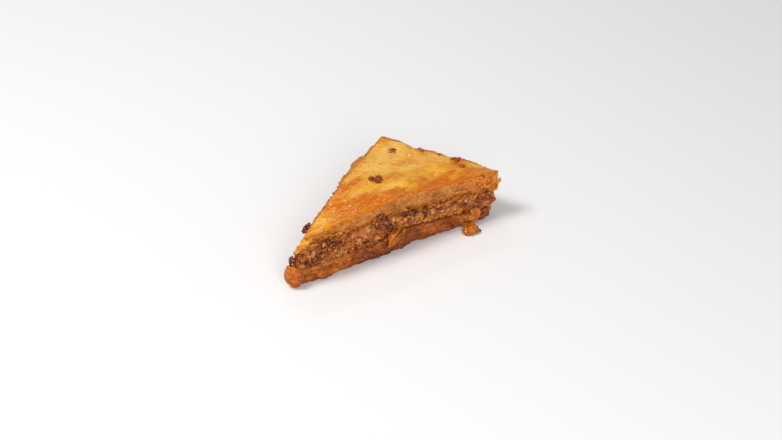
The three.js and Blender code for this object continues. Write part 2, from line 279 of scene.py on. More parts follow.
def plan_of(corners, set_in, radii):
    """A plan with rounded corners, set in from its sides, as even points with outward directions. Each
    corner is an arc of its radius; the side along the long cut is hollow past the middle. Turn runs from
    0 to 1 round the plan, and calm is 0 at a corner, where an edge stays even, and 1 elsewhere."""
    paths = []
    for i, (corner, radius) in enumerate(zip(corners, radii)):
        to_before = (corners[i - 1] - corner) / np.linalg.norm(corners[i - 1] - corner)
        to_after = (corners[(i + 1) % 3] - corner) / np.linalg.norm(corners[(i + 1) % 3] - corner)
        half = math.acos(float(to_before @ to_after)) / 2
        inward = (to_before + to_after) / np.linalg.norm(to_before + to_after)
        centre = corner + inward * (radius + set_in) / math.sin(half)
        facing = math.atan2(-inward[1], -inward[0])
        angle = np.linspace(facing - math.pi / 2 + half, facing + math.pi / 2 - half, ARC_POINTS)
        paths.append(centre + radius * np.column_stack([np.cos(angle), np.sin(angle)]))
    path = np.vstack(paths + [paths[0][:1]])
    length = np.concatenate([[0], np.cumsum(np.linalg.norm(np.diff(path, axis=0), axis=1))])
    turn = np.arange(PLAN_POINTS) / PLAN_POINTS
    x, y = (np.interp(turn * length[-1], length, path[:, k]) for k in (0, 1))
    along = np.column_stack([np.roll(x, -1) - np.roll(x, 1), np.roll(y, -1) - np.roll(y, 1)])
    along /= np.linalg.norm(along, axis=1)[:, None]
    calm = smooth((np.min([away(x, y, corner) for corner in corners], axis=0) - 3) / 9)
    y = y + CUT_HOLLOW * hill(x - 0.59 * CUT, 24) * hill(y, 8)
    return {"x": x, "y": y, "out_x": along[:, 1], "out_y": -along[:, 0], "turn": turn, "calm": calm}


def ring(plan, reach, level, share=1.0, slope=0.0):
    """One closed ring: the plan pushed out by reach and drawn to the heart by share, at the height
    level(x, y). Slope moves its thin tip back along the slice."""
    x = mix(HEART[0], plan["x"] + plan["out_x"] * reach, share) + slope * hill(plan["x"], 13)
    y = mix(HEART[1], plan["y"] + plan["out_y"] * reach, share)
    return np.column_stack([x, y, level(x, y) + 0 * x])


LID_CORNERS = [
    np.array([LID_TIP, CUT_LEAN]),
    np.array([CUT - CUT_LEAN * LEG_SHORT / LEG_LONG, CUT_LEAN]),
    SQUARE + LID_SQUARE,
]
BASE_PLAN = plan_of([TIP, END, SQUARE], 0.2, [2.2, 9, 2.4])
NUT_PLAN = plan_of([TIP, END, SQUARE], 1.1, [1.4, 5, 2.2])
LID_PLAN = plan_of(LID_CORNERS, 0.5, [1.4, 2.2, 1])


# ---------------------------------------------------------------- meshes


def linear(red, green, blue):
    """The scene-linear colour of a screen colour given in 0 to 255."""
    c = np.array([red, green, blue]) / 255
    return np.where(c <= 0.04045, c / 12.92, ((c + 0.055) / 1.055) ** 2.4)


def add_piece(name, points, faces, material, tint):
    """A mesh piece from an (n, 3) array of points, a list of face arrays with one row per face, and a
    colour for each point."""
    mesh = bpy.data.meshes.new(name)
    placed = (np.asarray(points) + SHIFT) * MM
    mesh.vertices.add(len(placed))
    mesh.vertices.foreach_set("co", placed.ravel())
    corners = np.concatenate([f.ravel() for f in faces])
    totals = np.concatenate([np.full(len(f), f.shape[1]) for f in faces])
    mesh.loops.add(len(corners))
    mesh.loops.foreach_set("vertex_index", corners)
    mesh.polygons.add(len(totals))
    mesh.polygons.foreach_set("loop_start", np.concatenate([[0], np.cumsum(totals)[:-1]]))
    mesh.polygons.foreach_set("loop_total", totals)
    mesh.polygons.foreach_set("use_smooth", np.full(len(totals), True))
    mesh.update(calc_edges=True)
    layer = mesh.attributes.new("tint", "FLOAT_COLOR", "POINT")
    layer.data.foreach_set("color", np.column_stack([tint, np.ones(len(tint))]).ravel())
    mesh.materials.append(material)
    piece = bpy.data.objects.new(name, mesh)
    bpy.context.scene.collection.objects.link(piece)
    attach(piece, "root")
    return piece


def grid_faces(rows, columns, closed):
    """Quads between neighbouring points of a grid whose rows follow each other upwards or outwards."""
    last = columns if closed else columns - 1
    row, column = np.meshgrid(np.arange(rows - 1), np.arange(last), indexing="ij")
    after = (column + 1) % columns
    below, above = row * columns, (row + 1) * columns
    return np.stack([below + column, below + after, above + after, above + column], -1).reshape(-1, 4)


def closed_loft(rings):
    """Points and faces of a closed body through rings that run anticlockwise, from its underside round
    to its top. A fan of triangles closes each end."""
    rings = np.asarray(rings)
    rows, columns = rings.shape[:2]
    points = np.vstack([rings.reshape(-1, 3), rings[0].mean(0), rings[-1].mean(0)])
    j = np.arange(columns)
    after = (j + 1) % columns
    low, high, start = rows * columns, rows * columns + 1, (rows - 1) * columns
    first = np.column_stack([np.full(columns, low), after, j])
    last = np.column_stack([np.full(columns, high), start + j, start + after])
    return points, [grid_faces(rows, columns, True), np.vstack([first, last])]


def sheet_faces(rows, columns):
    """Faces of a closed sheet: a grid of points, then the same grid below it, with a band of quads
    round the rim."""
    count = rows * columns
    upper = grid_faces(rows, columns, False)
    index = np.arange(count).reshape(rows, columns)
    rim = np.concatenate([index[0, :-1], index[:-1, -1], index[-1, :0:-1], index[:0:-1, 0]])
    after = np.roll(rim, -1)
    band = np.column_stack([after, rim, rim + count, after + count])
    return np.vstack([upper, upper[:, ::-1] + count, band])


def join(bodies):
    """One body from several, each with points, a list of face arrays, and colours."""
    starts = np.cumsum([0] + [len(points) for points, _, _ in bodies])
    kinds = range(len(bodies[0][1]))
    faces = [np.vstack([body[1][k] + start for body, start in zip(bodies, starts)]) for k in kinds]
    points, tint = (np.vstack([body[k] for body in bodies]) for k in (0, 2))
    return points, faces, tint


def repeat_faces(faces, count, stride):
    """The same faces for each of several bodies whose points follow each other."""
    return (faces[None] + stride * np.arange(count)[:, None, None]).reshape(-1, faces.shape[1])


# ---------------------------------------------------------------- materials


class Value:
    """A shader socket that Python's arithmetic works on: an expression adds its Math nodes."""

    def __init__(self, shader, socket):
        """A socket of a shader."""
        self.shader = shader
        self.socket = socket

    def _math(self, operation, a, b):
        """Adds one Math node."""
        return self.shader.node("ShaderNodeMath", {"operation": operation}, {0: a, 1: b})

    def __add__(self, other):
        """The sum."""
        return self._math("ADD", self, other)

    def __radd__(self, other):
        """The sum, with a plain number on the left."""
        return self._math("ADD", other, self)

    def __sub__(self, other):
        """The difference."""
        return self._math("SUBTRACT", self, other)

    def __rsub__(self, other):
        """The difference, with a plain number on the left."""
        return self._math("SUBTRACT", other, self)

    def __mul__(self, other):
        """The product."""
        return self._math("MULTIPLY", self, other)

    def __rmul__(self, other):
        """The product, with a plain number on the left."""
        return self._math("MULTIPLY", other, self)


class Shader:
    """The node tree of one material."""

    def __init__(self, name):
        """A new material with a Principled surface and Object coordinates."""
        self.material = bpy.data.materials.new(name)
        self.material.use_nodes = True
        self.tree = self.material.node_tree
        self.surface = self.tree.nodes["Principled BSDF"]
        self.place = self.node("ShaderNodeTexCoord", {}, {}, "Object")

    def node(self, kind, settings, inputs, output=0):
        """Adds a node of a kind with its settings and inputs, and gives the output asked for."""
        made = self.tree.nodes.new(kind)
        for key, value in settings.items():
            setattr(made, key, value)
        for key, value in inputs.items():
            self.plug(made.inputs[key], value)
        return Value(self, made.outputs[output])

    def plug(self, socket, value):
        """Links a value to a socket, or sets a plain number or colour on it."""
        if isinstance(value, Value):
            self.tree.links.new(value.socket, socket)
        else:
            socket.default_value = value

    def noise(self, size, detail=3.0, place=None):
        """Noise from 0 to 1 with features of about size, in millimetres."""
        vector = place or self.place
        inputs = {"Vector": vector, "Scale": 1 / (size * MM), "Detail": detail, "Roughness": 0.55}
        return self.node("ShaderNodeTexNoise", {}, inputs, "Fac")

    def stretched(self, turn, along, across):
        """Object coordinates turned about z, for noise that is drawn out along one direction."""
        scale = (1 / along, 1 / across, 1 / across)
        inputs = {"Vector": self.place, "Rotation": (0, 0, turn), "Scale": scale}
        return self.node("ShaderNodeMapping", {}, inputs)

    def layered(self, along, rise):
        """Object coordinates for noise that is drawn out level, along the sheets of a stack."""
        scale = (1 / along, 1 / along, 1 / rise)
        return self.node("ShaderNodeMapping", {}, {"Vector": self.place, "Scale": scale})

    def ramp(self, value, low, high, to_low=0.0, to_high=1.0):
        """The value's span from low to high, spread smoothly over another span."""
        inputs = {"Value": value, "From Min": low, "From Max": high, "To Min": to_low, "To Max": to_high}
        return self.node("ShaderNodeMapRange", {"interpolation_type": "SMOOTHSTEP"}, inputs)

    def blend(self, share, a, b):
        """A mix of two colours."""
        settings = {"data_type": "RGBA", "blend_type": "MIX"}
        return self.node("ShaderNodeMix", settings, {"Factor": share, 6: a, 7: b}, 2)

    def tint(self):
        """The colour that each point of a piece carries."""
        return self.node("ShaderNodeAttribute", {"attribute_name": "tint"}, {}, "Color")

    def bump(self, height, depth):
        """A normal for relief of a depth in millimetres."""
        return self.node("ShaderNodeBump", {}, {"Height": height, "Distance": depth * MM, "Strength": 1.0})

    def finish(self, **sockets):
        """Plugs the sockets of the surface, named with underscores, and gives the material."""
        for name, value in sockets.items():
            self.plug(self.surface.inputs[name.replace("_", " ")], value)
        return self.material


def rgba(red, green, blue):
    """A socket's colour from a screen colour given in 0 to 255."""
    return (*[float(c) for c in linear(red, green, blue)], 1.0)


def make_glazed():
    """Golden baked sheets under a coat of syrup."""
    s = Shader("glazed_sheets")
    wrinkles = s.noise(1.0, 4, s.stretched(0.35, 3.2, 0.8))
    folds = s.noise(1.0, 3, s.stretched(-0.7, 5.0, 1.3))
    colour = s.blend(s.ramp(s.noise(0.9, 4), 0.40, 0.75) * 0.3, s.tint(), rgba(186, 86, 6))
    # Painted highlight: the raised wrinkles of the bump below are painted paler along their crests.
    colour = s.blend(s.ramp(wrinkles, 0.52, 0.68) * 0.4, colour, rgba(248, 196, 96))
    colour = s.blend(s.ramp(folds, 0.56, 0.70) * 0.35, colour, rgba(196, 92, 6))
    return s.finish(
        Base_Color=colour,
        Roughness=s.ramp(s.noise(2.5, 3), 0.3, 0.7, 0.3, 0.5),
        Specular_IOR_Level=0.1,
        Coat_Weight=0.12,
        Coat_Roughness=0.1,
        Normal=s.bump(wrinkles + folds * 0.8 + s.noise(3.0, 2), 0.30),
    )


def cut_edges(name, speckle, along, rise, paints, rough, coat, lump, relief):
    """The cut edges of a stack of sheets: speckles of a size, then dark and pale lines drawn out along the
    sheets. Paints gives the share and the colour of the speckles, the dark lines and the pale lines."""
    s = Shader(name)
    speckles = s.ramp(s.noise(speckle, 4), 0.40, 0.72)
    sheets = s.noise(1.0, 3, s.layered(along, rise))
    # The dark lines fall in the grooves of the bump below and the pale lines on its ridges: partly the
    # sheets' own layers, partly painted shade and painted highlight.
    marks = [speckles, s.ramp(sheets, 0.52, 0.66), s.ramp(sheets, 0.44, 0.30)]
    colour = s.tint()
    for mark, (share, paint) in zip(marks, paints):
        colour = s.blend(mark * share, colour, rgba(*paint))
    coat_weight, coat_roughness = coat
    return s.finish(
        Base_Color=colour,
        Roughness=s.ramp(s.noise(1.8, 3), 0.3, 0.7, *rough),
        Specular_IOR_Level=0.2,
        Coat_Weight=coat_weight,
        Coat_Roughness=coat_roughness,
        Normal=s.bump(s.noise(0.8, 4) + s.noise(lump, 2) - sheets * 0.8, relief),
    )


def make_layers():
    """The cut edges of the baked sheets, brown and moist."""
    return cut_edges(
        "cut_sheets",
        speckle=0.8,
        along=2.6,
        rise=0.5,
        paints=[(0.4, (130, 56, 10)), (0.45, (128, 58, 16)), (0.35, (240, 176, 92))],
        rough=(0.3, 0.55),
        coat=(0.15, 0.1),
        lump=2.0,
        relief=0.30,
    )


def make_soaked():
    """Pastry sheets soaked through with syrup."""
    return cut_edges(
        "soaked_sheets",
        speckle=1.0,
        along=3.0,
        rise=0.6,
        paints=[(0.45, (98, 38, 5)), (0.5, (84, 30, 4)), (0.3, (232, 148, 66))],
        rough=(0.26, 0.5),
        coat=(0.25, 0.07),
        lump=2.2,
        relief=0.36,
    )


def make_nuts():
    """Ground walnuts bound with syrup."""
    s = Shader("ground_walnuts")
    speckle = s.ramp(s.noise(0.6, 4), 0.38, 0.7)
    colour = s.blend(speckle * 0.4, s.tint(), rgba(94, 42, 10))
    return s.finish(
        Base_Color=colour,
        Roughness=s.ramp(s.noise(1.5, 3), 0.3, 0.7, 0.3, 0.6),
        Specular_IOR_Level=0.2,
        Coat_Weight=0.4,
        Coat_Roughness=0.09,
        Normal=s.bump(s.noise(0.6, 4), 0.2),
    )


def make_syrup():
    """Thick amber syrup."""
    s = Shader("amber_syrup")
    return s.finish(
        Base_Color=s.tint(),
        Roughness=0.08,
        Specular_IOR_Level=0.5,
        Coat_Weight=1.0,
        Coat_Roughness=0.03,
    )


GLAZED = make_glazed()
SYRUP = make_syrup()
LAYERS = make_layers()
SOAKED = make_soaked()
NUTS = make_nuts()

# Colours that the tints of the pieces are mixed from: baked and soaked sheets, syrup, and nuts.
AMBER = linear(232, 160, 36)
HONEY = linear(244, 190, 84)
ORANGE = linear(206, 104, 4)
BEIGE = linear(248, 196, 98)
RIM = linear(210, 108, 20)
CRUST = linear(218, 128, 40)
BROWN = linear(170, 104, 50)
TAN = linear(232, 166, 78)
RUSSET = linear(176, 78, 12)
SALMON = linear(232, 140, 66)
SYRUP_DARK = linear(112, 44, 2)
SOAKED_MID = linear(180, 88, 12)
FAWN = linear(226, 138, 50)
BRIGHT = linear(230, 118, 10)
APRICOT = linear(252, 154, 70)
SKIN = linear(82, 30, 14)
MEAL = linear(185, 94, 25)
FLESH = linear(223, 138, 61)
PALE = linear(226, 162, 92)


def three_way(share, low, middle, high):
    """Colours from low at 0 through middle at 0.5 to high at 1."""
    t = np.clip(share, 0, 1)[:, None]
    return np.where(t < 0.5, mix(low, middle, 2 * t), mix(middle, high, 2 * t - 1))


# ---------------------------------------------------------------- stacks of pastry sheets


def bundle_reach(plan, bundle, seed):
    """How far one bundle of sheets stands out: a slow wave, a ragged edge and a few torn tongues."""
    wave = 0.5 * ripple(plan["turn"], 17, seed)
    ragged = 0.5 * ripple(plan["turn"], 60, seed + bundle)
    torn = ripple(plan["turn"], 31, seed + 20 + bundle)
    tongue = 1.5 * smooth((torn - 0.55) / 0.35) - 0.9 * smooth((-torn - 0.6) / 0.3)
    return plan["calm"] * (wave + ragged + tongue)


def base_lobe(plan, share):
    """The round lobe at the thin tip, widest at two thirds of the stack's height, the bulge of the
    foot beside it and the lean of the far end."""
    profile = 0.45 + 0.7 * math.sin(0.85 * math.pi * share)
    lobe = TIP_LOBE * profile * hill(np.hypot(plan["x"] - 5, plan["y"] - 2), 4.5)
    bulge = BASE_FOOT + BASE_BULGE * hill(plan["x"] - 0.4 * CUT, 28)
    foot = bulge * (1 - 0.7 * share) * hill(plan["y"], 8)
    return lobe + foot + BASE_LEAN * share * hill(away(plan["x"], plan["y"], END), 14)


def lid_lobe(plan, _share):
    """The back edge of the top pastry stands out from the middle on, less towards the square corner."""
    fade = 1 - smooth((plan["x"] - 0.46 * CUT) / 36)
    return LID_LEDGE * smooth(plan["out_y"]) * smooth((plan["x"] - 0.39 * CUT) / 5) * fade


def stack_side(plan, floor, roof, sheets, seed, lobe, crags):
    """Rings up the side of a stack of sheets. Each sheet has a lip of three rings, pushed out by its
    bundle's reach, its own finer noise and crags in space, and a groove above it. The sheets wander up
    and down along the side."""
    turn = plan["turn"]
    steady = mix(0.35, 1, plan["calm"])

    def border(k):
        """Share of the height where sheet k begins, round the side."""
        if k in (0, sheets):
            return k / sheets + 0 * turn
        return (k + 0.55 * ripple(turn, 26, seed + 50 + k) + 0.2 * ripple(turn, 90, seed + 90 + k)) / sheets

    def level(share):
        """The height at a share, as a function of the plan."""
        return lambda x, y: mix(floor(x, y), roof(x, y), share)

    rings = []
    for sheet in range(sheets):
        low, high = border(sheet), np.maximum(border(sheet + 1), border(sheet) + 0.25 / sheets)
        height = (sheet + 0.5) / sheets
        bundle = min(int(BUNDLES * height), BUNDLES - 1)
        reach = bundle_reach(plan, bundle, seed) + lobe(plan, height)
        z = mix(floor(plan["x"], plan["y"]), roof(plan["x"], plan["y"]), height)
        reach = reach + steady * crags * rough_grain(plan["x"], plan["y"], z, seed + 300, 3.2, 3)
        own = 0.28 * ripple(turn, 150, seed + 130 + sheet) + 0.26 * ripple(turn, 420, seed + 170 + sheet)
        torn = smooth((ripple(turn, 75, seed + 210 + sheet) - 0.45) / 0.3)
        reach = reach + steady * (own + 0.7 * torn - 0.2)
        for part, inset in ((0.16, 0.10), (0.5, 0.0), (0.84, 0.12)):
            rings.append(ring(plan, reach - inset, level(mix(low, high, part))))
        if sheet < sheets - 1:
            groove = reach - 0.4 * steady * (0.6 + 0.4 * ripple(turn, 60, seed + 250 + sheet))
            rings.append(ring(plan, groove, level(high)))
    return rings


def level_wave(plan, seed, depth):
    """The slow wave of a level between two layers, round the slice."""
    return depth * plan["calm"] * ripple(plan["turn"], 19, seed)


# Dark and pale stretches of the bottom stack along the cut: place, reach and change of tone.
BASE_SHADES = [(20, 16, 0.24), (50, 11, -0.16), (74, 8, -0.08), (98, 5, -0.12), (109, 6, 0.40)]


def soaked_tint(x, y, z):
    """Brown soaked pastry: mottled along its sheets, dark at the foot and bright at the round tip."""
    patch = rough_grain(x, y, z * 2.2, 31, 6.0)
    fleck = rough_grain(x, y, z * 1.5, 35, 2.2)
    speck = grain(x / 0.8, y / 0.8, z / 0.6, 37)
    tone = 0.42 + 0.42 * patch + 0.36 * fleck + 0.22 * speck + 0.03 * (z - 4)
    for place, reach, change in BASE_SHADES:
        tone = tone + change * hill(x - place, reach) * hill(y, 10)
    tint = three_way(tone, SYRUP_DARK, SOAKED_MID, FAWN)
    # Darker towards the foot: painted shade where the stack meets the table.
    foot = smooth(1 - z / 1.8)
    tint = mix(tint, SYRUP_DARK, 0.65 * foot[:, None])
    bright = hill(np.hypot(x - 2, y - 2), 6.5) * smooth(0.75 + 0.8 * fleck)
    tint = mix(tint, BRIGHT, np.clip(bright, 0, 1)[:, None])
    shelf = smooth((z - base_at(x, y) + 1.1) / 0.7) * smooth((x - 8) / 4)
    return mix(tint, mix(SKIN, MEAL, 0.6), 0.8 * shelf[:, None])


def make_bottom_stack():
    """The bottom pastry: its foot, its side of sheets, and rings drawn in over its top."""
    wave = level_wave(BASE_PLAN, 71, 0.35)

    def floor(x, _):
        """The table."""
        return 0 * x

    def roof(x, y):
        """The top of the stack along its side."""
        return base_at(x, y) + wave - 0.15

    side = stack_side(BASE_PLAN, floor, roof, BASE_SHEETS, BASE_SEED, base_lobe, BASE_CRAGS)
    inner = [ring(BASE_PLAN, -0.6, lambda x, y: base_at(x, y) - 0.3, share) for share in (0.93, 0.8, 0.4)]
    foot = [ring(BASE_PLAN, -1.0, floor, share) for share in (0.4, 0.97)]
    points, faces = closed_loft(foot + side + inner)
    piece = add_piece("bottom_stack", points, faces, SOAKED, soaked_tint(*points.T))
    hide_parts("bottom_pastry")


# Places on the cut edge of the top pastry: place, height, reach and colour.
# The salmon places are partly pinkish pastry and partly painted wet highlights.
CRUST_MARKS = [
    (30.0, 23.4, 4.0, CRUST),
    (49.0, 22.0, 3.0, TAN),
    (65.5, 26.4, 3.0, BROWN),
    (67.3, 29.0, 2.4, SALMON),
    (79.0, 27.4, 4.0, SALMON),
    (75.5, 22.4, 5.0, TAN),
    (92.7, 21.8, 5.0, BROWN),
    (99.5, 24.2, 3.0, TAN),
    (102.0, 20.6, 3.0, TAN),
    (113.5, 20.6, 4.0, SALMON),
]


def crust_tint(x, y, z):
    """Baked sheets seen from their cut edge: orange-brown, with dull brown, tan and salmon places and
    upright streaks, brighter at the far end."""
    patch = rough_grain(x, y, z * 1.6, 41, 7.0)
    fleck = rough_grain(x, y, z * 1.4, 45, 2.2)
    streak = rough_grain(x * 1.6, y * 1.6, z * 0.25, 49, 2.0)
    height = (z - filling_at(x, y)) / (crown_at(x, y) - filling_at(x, y))
    tone = 0.40 + 0.55 * patch + 0.34 * fleck + 0.25 * streak + 0.24 * height
    tint = three_way(tone, RUSSET, CRUST, TAN)
    dull = smooth((rough_grain(x, y, z, 47, 9.0, 2) - 0.05) / 0.3) * smooth(1.1 - height)
    tint = mix(tint, BROWN, 0.7 * dull[:, None])
    warm = smooth((rough_grain(x, y, z * 1.5, 48, 5.0, 2) - 0.15) / 0.25)
    tint = mix(tint, SALMON, 0.6 * warm[:, None])
    for px, pz, reach, colour in CRUST_MARKS:
        mark = hill(np.hypot(x - px, 1.4 * (z - pz)), reach) * hill(y, 9) * smooth(0.8 + 0.7 * fleck)
        tint = mix(tint, colour, 0.9 * mark[:, None])
    bright = smooth((x - 108) / 16) * smooth(0.5 + 0.9 * patch)
    return mix(tint, APRICOT, 0.7 * bright[:, None])


def make_top_stack():
    """The top pastry: rings over the nuts, its side of sheets, and rings under the glazed sheet."""
    wave = level_wave(LID_PLAN, 83, 0.3)

    def floor(x, y):
        """The foot of the stack along its side."""
        return filling_at(x, y) + wave + 0.15

    def roof(x, y):
        """The top of the stack along its side."""
        return crown_at(x, y) - 0.55

    def under(x, y):
        """The underside, clear of the nuts."""
        return filling_at(x, y) + 0.3

    def within(x, y):
        """The top under the glazed sheet."""
        return roof(x, y) + sheet_edges(x, y) - 0.3

    side = stack_side(LID_PLAN, floor, roof, LID_SHEETS, LID_SEED, lid_lobe, LID_CRAGS)
    below = [ring(LID_PLAN, -0.6, under, share) for share in (0.4, 0.8, 0.93)]
    inner = [ring(LID_PLAN, -0.8, within, share) for share in (0.96, 0.8, 0.5, 0.2)]
    points, faces = closed_loft(below + side + inner)
    piece = add_piece("top_stack", points, faces, LAYERS, crust_tint(*points.T))
    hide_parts("top_pastry")


# ---------------------------------------------------------------- glazed top sheets


def lid_room(x, y):
    """Distance from a point on the plan of the top pastry to the nearest of its three sides."""
    front = y - CUT_LEAN - 0.5 - CUT_HOLLOW * hill(x - 0.59 * CUT, 24)
    tip = LID_CORNERS[0]
    reach = LID_CORNERS[2] - tip
    long_leg = ((x - tip[0]) * reach[1] - (y - tip[1]) * reach[0]) / np.linalg.norm(reach)
    short_leg = ((CUT - x) * LEG_LONG - y * LEG_SHORT) / CUT
    return np.minimum(front, np.minimum(long_leg, short_leg) - 0.5)


def rim_roll(x, y):
    """How far the glazed sheet is bent down along the rim."""
    return 0.6 * (1 - smooth((lid_room(x, y) + 0.5) / 1.5))


# Pools of deep orange syrup, and golden places with the reverse sign: place, reach along x and y, depth.
POOLS = [
    (46, 10.5, 14, 5, 1.1),
    (41, 14.5, 9, 4, 0.6),
    (58, 9, 10, 4, 0.6),
    (40, 4.2, 26, 3.6, 1.3),
    (88, 7.0, 17, 3.5, 0.9),
    (108, 6, 14, 5, 0.55),
    (54, 25.5, 8, 4, 0.8),
    (69, 5, 10, 3, 0.7),
    (128, 5, 8, 5, 0.8),
    (94.5, 43, 5, 3.5, 0.7),
    (117, 18, 5, 6, 0.4),
    (26, 10.5, 9, 4, -0.5),
    (61, 18, 8, 5, -0.25),
    (73, 13, 8, 4, -0.5),
    (97, 18, 13, 6, -0.3),
]

# Pale places of the top sheet, partly dry sheet and partly painted sheen: place, reach along x and y, and
# strength.
PALE_AND_SHEEN_PLACES = [
    (75, 34, 11, 7, 1),
    (88, 42, 10, 7, 1),
    (99, 48, 9, 7, 1),
    (109, 30, 14, 9, 1),
    (69, 12, 6, 3, 1),
    (88, 26, 9, 4, 1),
    (24, 8, 6, 3, 1),
]


def blots(x, y, places):
    """The sum of soft oval places, each with its own reach along x and y, and its own depth."""
    total = 0.0
    for px, py, reach_x, reach_y, depth in places:
        total = total + depth * hill(np.hypot((x - px) / reach_x, (y - py) / reach_y), 1.0)
    return total


def glaze_tint(x, y, seed=0.0):
    """Amber glaze: paler towards the square corner, with dry sheet and painted sheen there, deep orange in
    pools near the tip and the cut.
    """
    broad = rough_grain(x + 40 * seed, y, 0 * x, 51, 15.0, 3)
    streak = rough_grain(x * 0.45 + y * 0.3, y * 1.1 - x * 0.5, 0 * x + 3 * seed, 57, 5.0, 3)
    wx = x + 5 * rough_grain(x, y, 0 * x + seed, 55, 8.0, 3)
    wy = y + 4 * rough_grain(x, y, 0 * x + seed, 56, 7.0, 3)
    fleck = rough_grain(x + y, y - 0.5 * x, 0 * x + 3 * seed, 61, 2.2, 2)
    tone = 0.56 + 0.60 * broad + 0.45 * streak + 0.25 * fleck - 0.62 * blots(wx, wy, POOLS)
    tint = three_way(tone, ORANGE, AMBER, HONEY)
    # Beige over the pale places: dry sheet, and painted sheen.
    tint = mix(tint, BEIGE, 0.8 * smooth(blots(wx, wy, PALE_AND_SHEEN_PLACES) - 0.15)[:, None])
    # Painted highlight: the raised torn lines are painted honey-pale.
    tint = mix(tint, HONEY, 0.30 * torn_lines(x, y)[:, None])
    rim = smooth(1 - lid_room(x, y) / 1.6)
    edge = mix(RIM, BROWN, smooth((y - 8) / 6)[:, None] * smooth(0.6 + broad)[:, None])
    return mix(tint, edge, 0.85 * rim[:, None])


# The hem of the glazed sheet, from its lowest ring up: fall, as a share of the hem's length, and reach.
HEM_FALL = [(0.9, -0.25), (1.0, 0.05), (0.8, 0.2), (0.4, 0.22), (0.12, 0.12)]

# Rings of the glazed sheet from its rim to its heart.
GLAZE_RINGS = 90


def make_glazed_sheet():
    """The top sheet: rings drawn from the rim of the top pastry to its heart. It rolls down along the
    rim, and its ragged hem hangs a little way down the side."""
    turn = LID_PLAN["turn"]
    reach = 0.85 * bundle_reach(LID_PLAN, BUNDLES - 1, LID_SEED) + lid_lobe(LID_PLAN, 1.0)
    reach = reach + LID_PLAN["calm"] * (0.25 * ripple(turn, 160, 301) + 0.15 * ripple(turn, 400, 302)) + 0.25

    def over(x, y):
        """The glazed face."""
        return glaze_at(x, y) - rim_roll(x, y)

    def under(x, y):
        """The face below it."""
        return over(x, y) - GLAZE

    hem = 1.1 + 0.7 * ripple(turn, 44, 303) + 0.5 * ripple(turn, 130, 304)
    drop = [ring(LID_PLAN, reach + out, lambda x, y, d=down * hem: over(x, y) - d) for down, out in HEM_FALL]
    shares = 1 - (np.arange(1, GLAZE_RINGS) / GLAZE_RINGS) ** 1.15
    below = [ring(LID_PLAN, reach - 0.3, under, share) for share in (0.3, 0.7, 0.9, 0.985, 1.0)]
    above = [ring(LID_PLAN, reach, over, share) for share in np.concatenate([[1.0], shares])]
    points, faces = closed_loft(below + drop + above)
    tint = glaze_tint(points[:, 0], points[:, 1])
    add_piece("glazed_sheet", points, faces, GLAZED, tint)


# Torn pieces of sheet on the glaze: centre, reach along and across, and turn.
SHEET_PATCHES = [
    ((64, 31), (13, 7), 0.7),
    ((84, 17), (17, 7), 0.05),
    ((95, 43), (11, 8), 1.1),
    ((106, 21), (11, 8), -0.4),
    ((52, 15), (9, 5), 0.3),
]


def make_sheet_patches():
    """Torn pieces of sheet: rings from the centre of each to its ragged five-sided outline."""
    rays, rings = 150, 20
    theta = 2 * np.pi * np.arange(rays) / rays
    turn = theta / (2 * np.pi)
    share = (np.arange(1, rings + 1) / rings)[:, None] ** 0.8
    bodies = []
    for k, (centre, size, angle) in enumerate(SHEET_PATCHES):
        side = np.arange(5)[:, None]
        facing = 2 * np.pi * (side + 0.4 * chance(side, 400 + k)) / 5
        distance = 0.6 + 0.4 * chance(side, 410 + k)
        ragged = (distance / np.maximum(np.cos(theta - facing), 0.2)).min(0)
        ragged = ragged * (1 + 0.06 * ripple(turn, 24, 420 + k) + 0.04 * ripple(turn, 70, 440 + k))
        along, across = size[0] * ragged * np.cos(theta), size[1] * ragged * np.sin(theta)
        x = centre[0] + share * (along * math.cos(angle) - across * math.sin(angle))
        y = centre[1] + share * (along * math.sin(angle) + across * math.cos(angle))
        lift = 0.08 + 0.18 * share**12 * (0.4 + 0.6 * ripple(turn, 11, 460 + k))
        over = np.stack([x, y, glaze_at(x, y) - rim_roll(x, y) + lift], -1)
        points, faces = closed_loft(np.concatenate([over - [0, 0, 0.24], over[::-1]]))
        tint = glaze_tint(points[:, 0], points[:, 1], 0.06 * (1 + k))
        edge = np.concatenate([np.tile(share, (1, rays)).ravel()] * 2 + [[0, 0]])
        edge[rings * rays : 2 * rings * rays] = np.tile(share[::-1], (1, rays)).ravel()
        bodies.append((points, faces, mix(tint, BEIGE, 0.3 * smooth((edge - 0.85) / 0.15)[:, None])))
    points, faces, tint = join(bodies)
    add_piece("sheet_patches", points, faces, GLAZED, tint)


# ---------------------------------------------------------------- nuts


def ball(level):
    """The corners and triangles of a twenty-faced ball, each triangle split in four for each level."""
    g = (1 + 5**0.5) / 2
    points = np.array([(a, b * g, 0) for a in (-1, 1) for b in (-1, 1)], float)
    points = np.vstack([points, points[:, [2, 0, 1]], points[:, [1, 2, 0]]])
    points /= np.linalg.norm(points[0])
    reach = np.linalg.norm(points[:, None] - points[None], axis=2)
    near = (reach > 0.1) & (reach < 1.2)
    a, b, c = np.meshgrid(*[np.arange(12)] * 3, indexing="ij")
    faces = np.stack([a, b, c], -1)[(a < b) & (b < c) & near[a, b] & near[b, c] & near[a, c]]
    turned = np.linalg.det(points[faces]) < 0
    faces[turned] = faces[turned][:, [0, 2, 1]]
    for _ in range(level):
        edges = np.sort(np.vstack([faces[:, [0, 1]], faces[:, [1, 2]], faces[:, [2, 0]]]), axis=1)
        unique, where = np.unique(edges, axis=0, return_inverse=True)
        ab, bc, ca = where.reshape(3, -1) + len(points)
        middle = points[unique].mean(1)
        points = np.vstack([points, middle / np.linalg.norm(middle, axis=1)[:, None]])
        a, b, c = faces.T
        quarters = (a, ab, ca), (b, bc, ab), (c, ca, bc), (ab, bc, ca)
        faces = np.vstack([np.column_stack(quarter) for quarter in quarters])
    return points, faces


# Flat planes that each nut bit is broken along.
BREAKS = 8


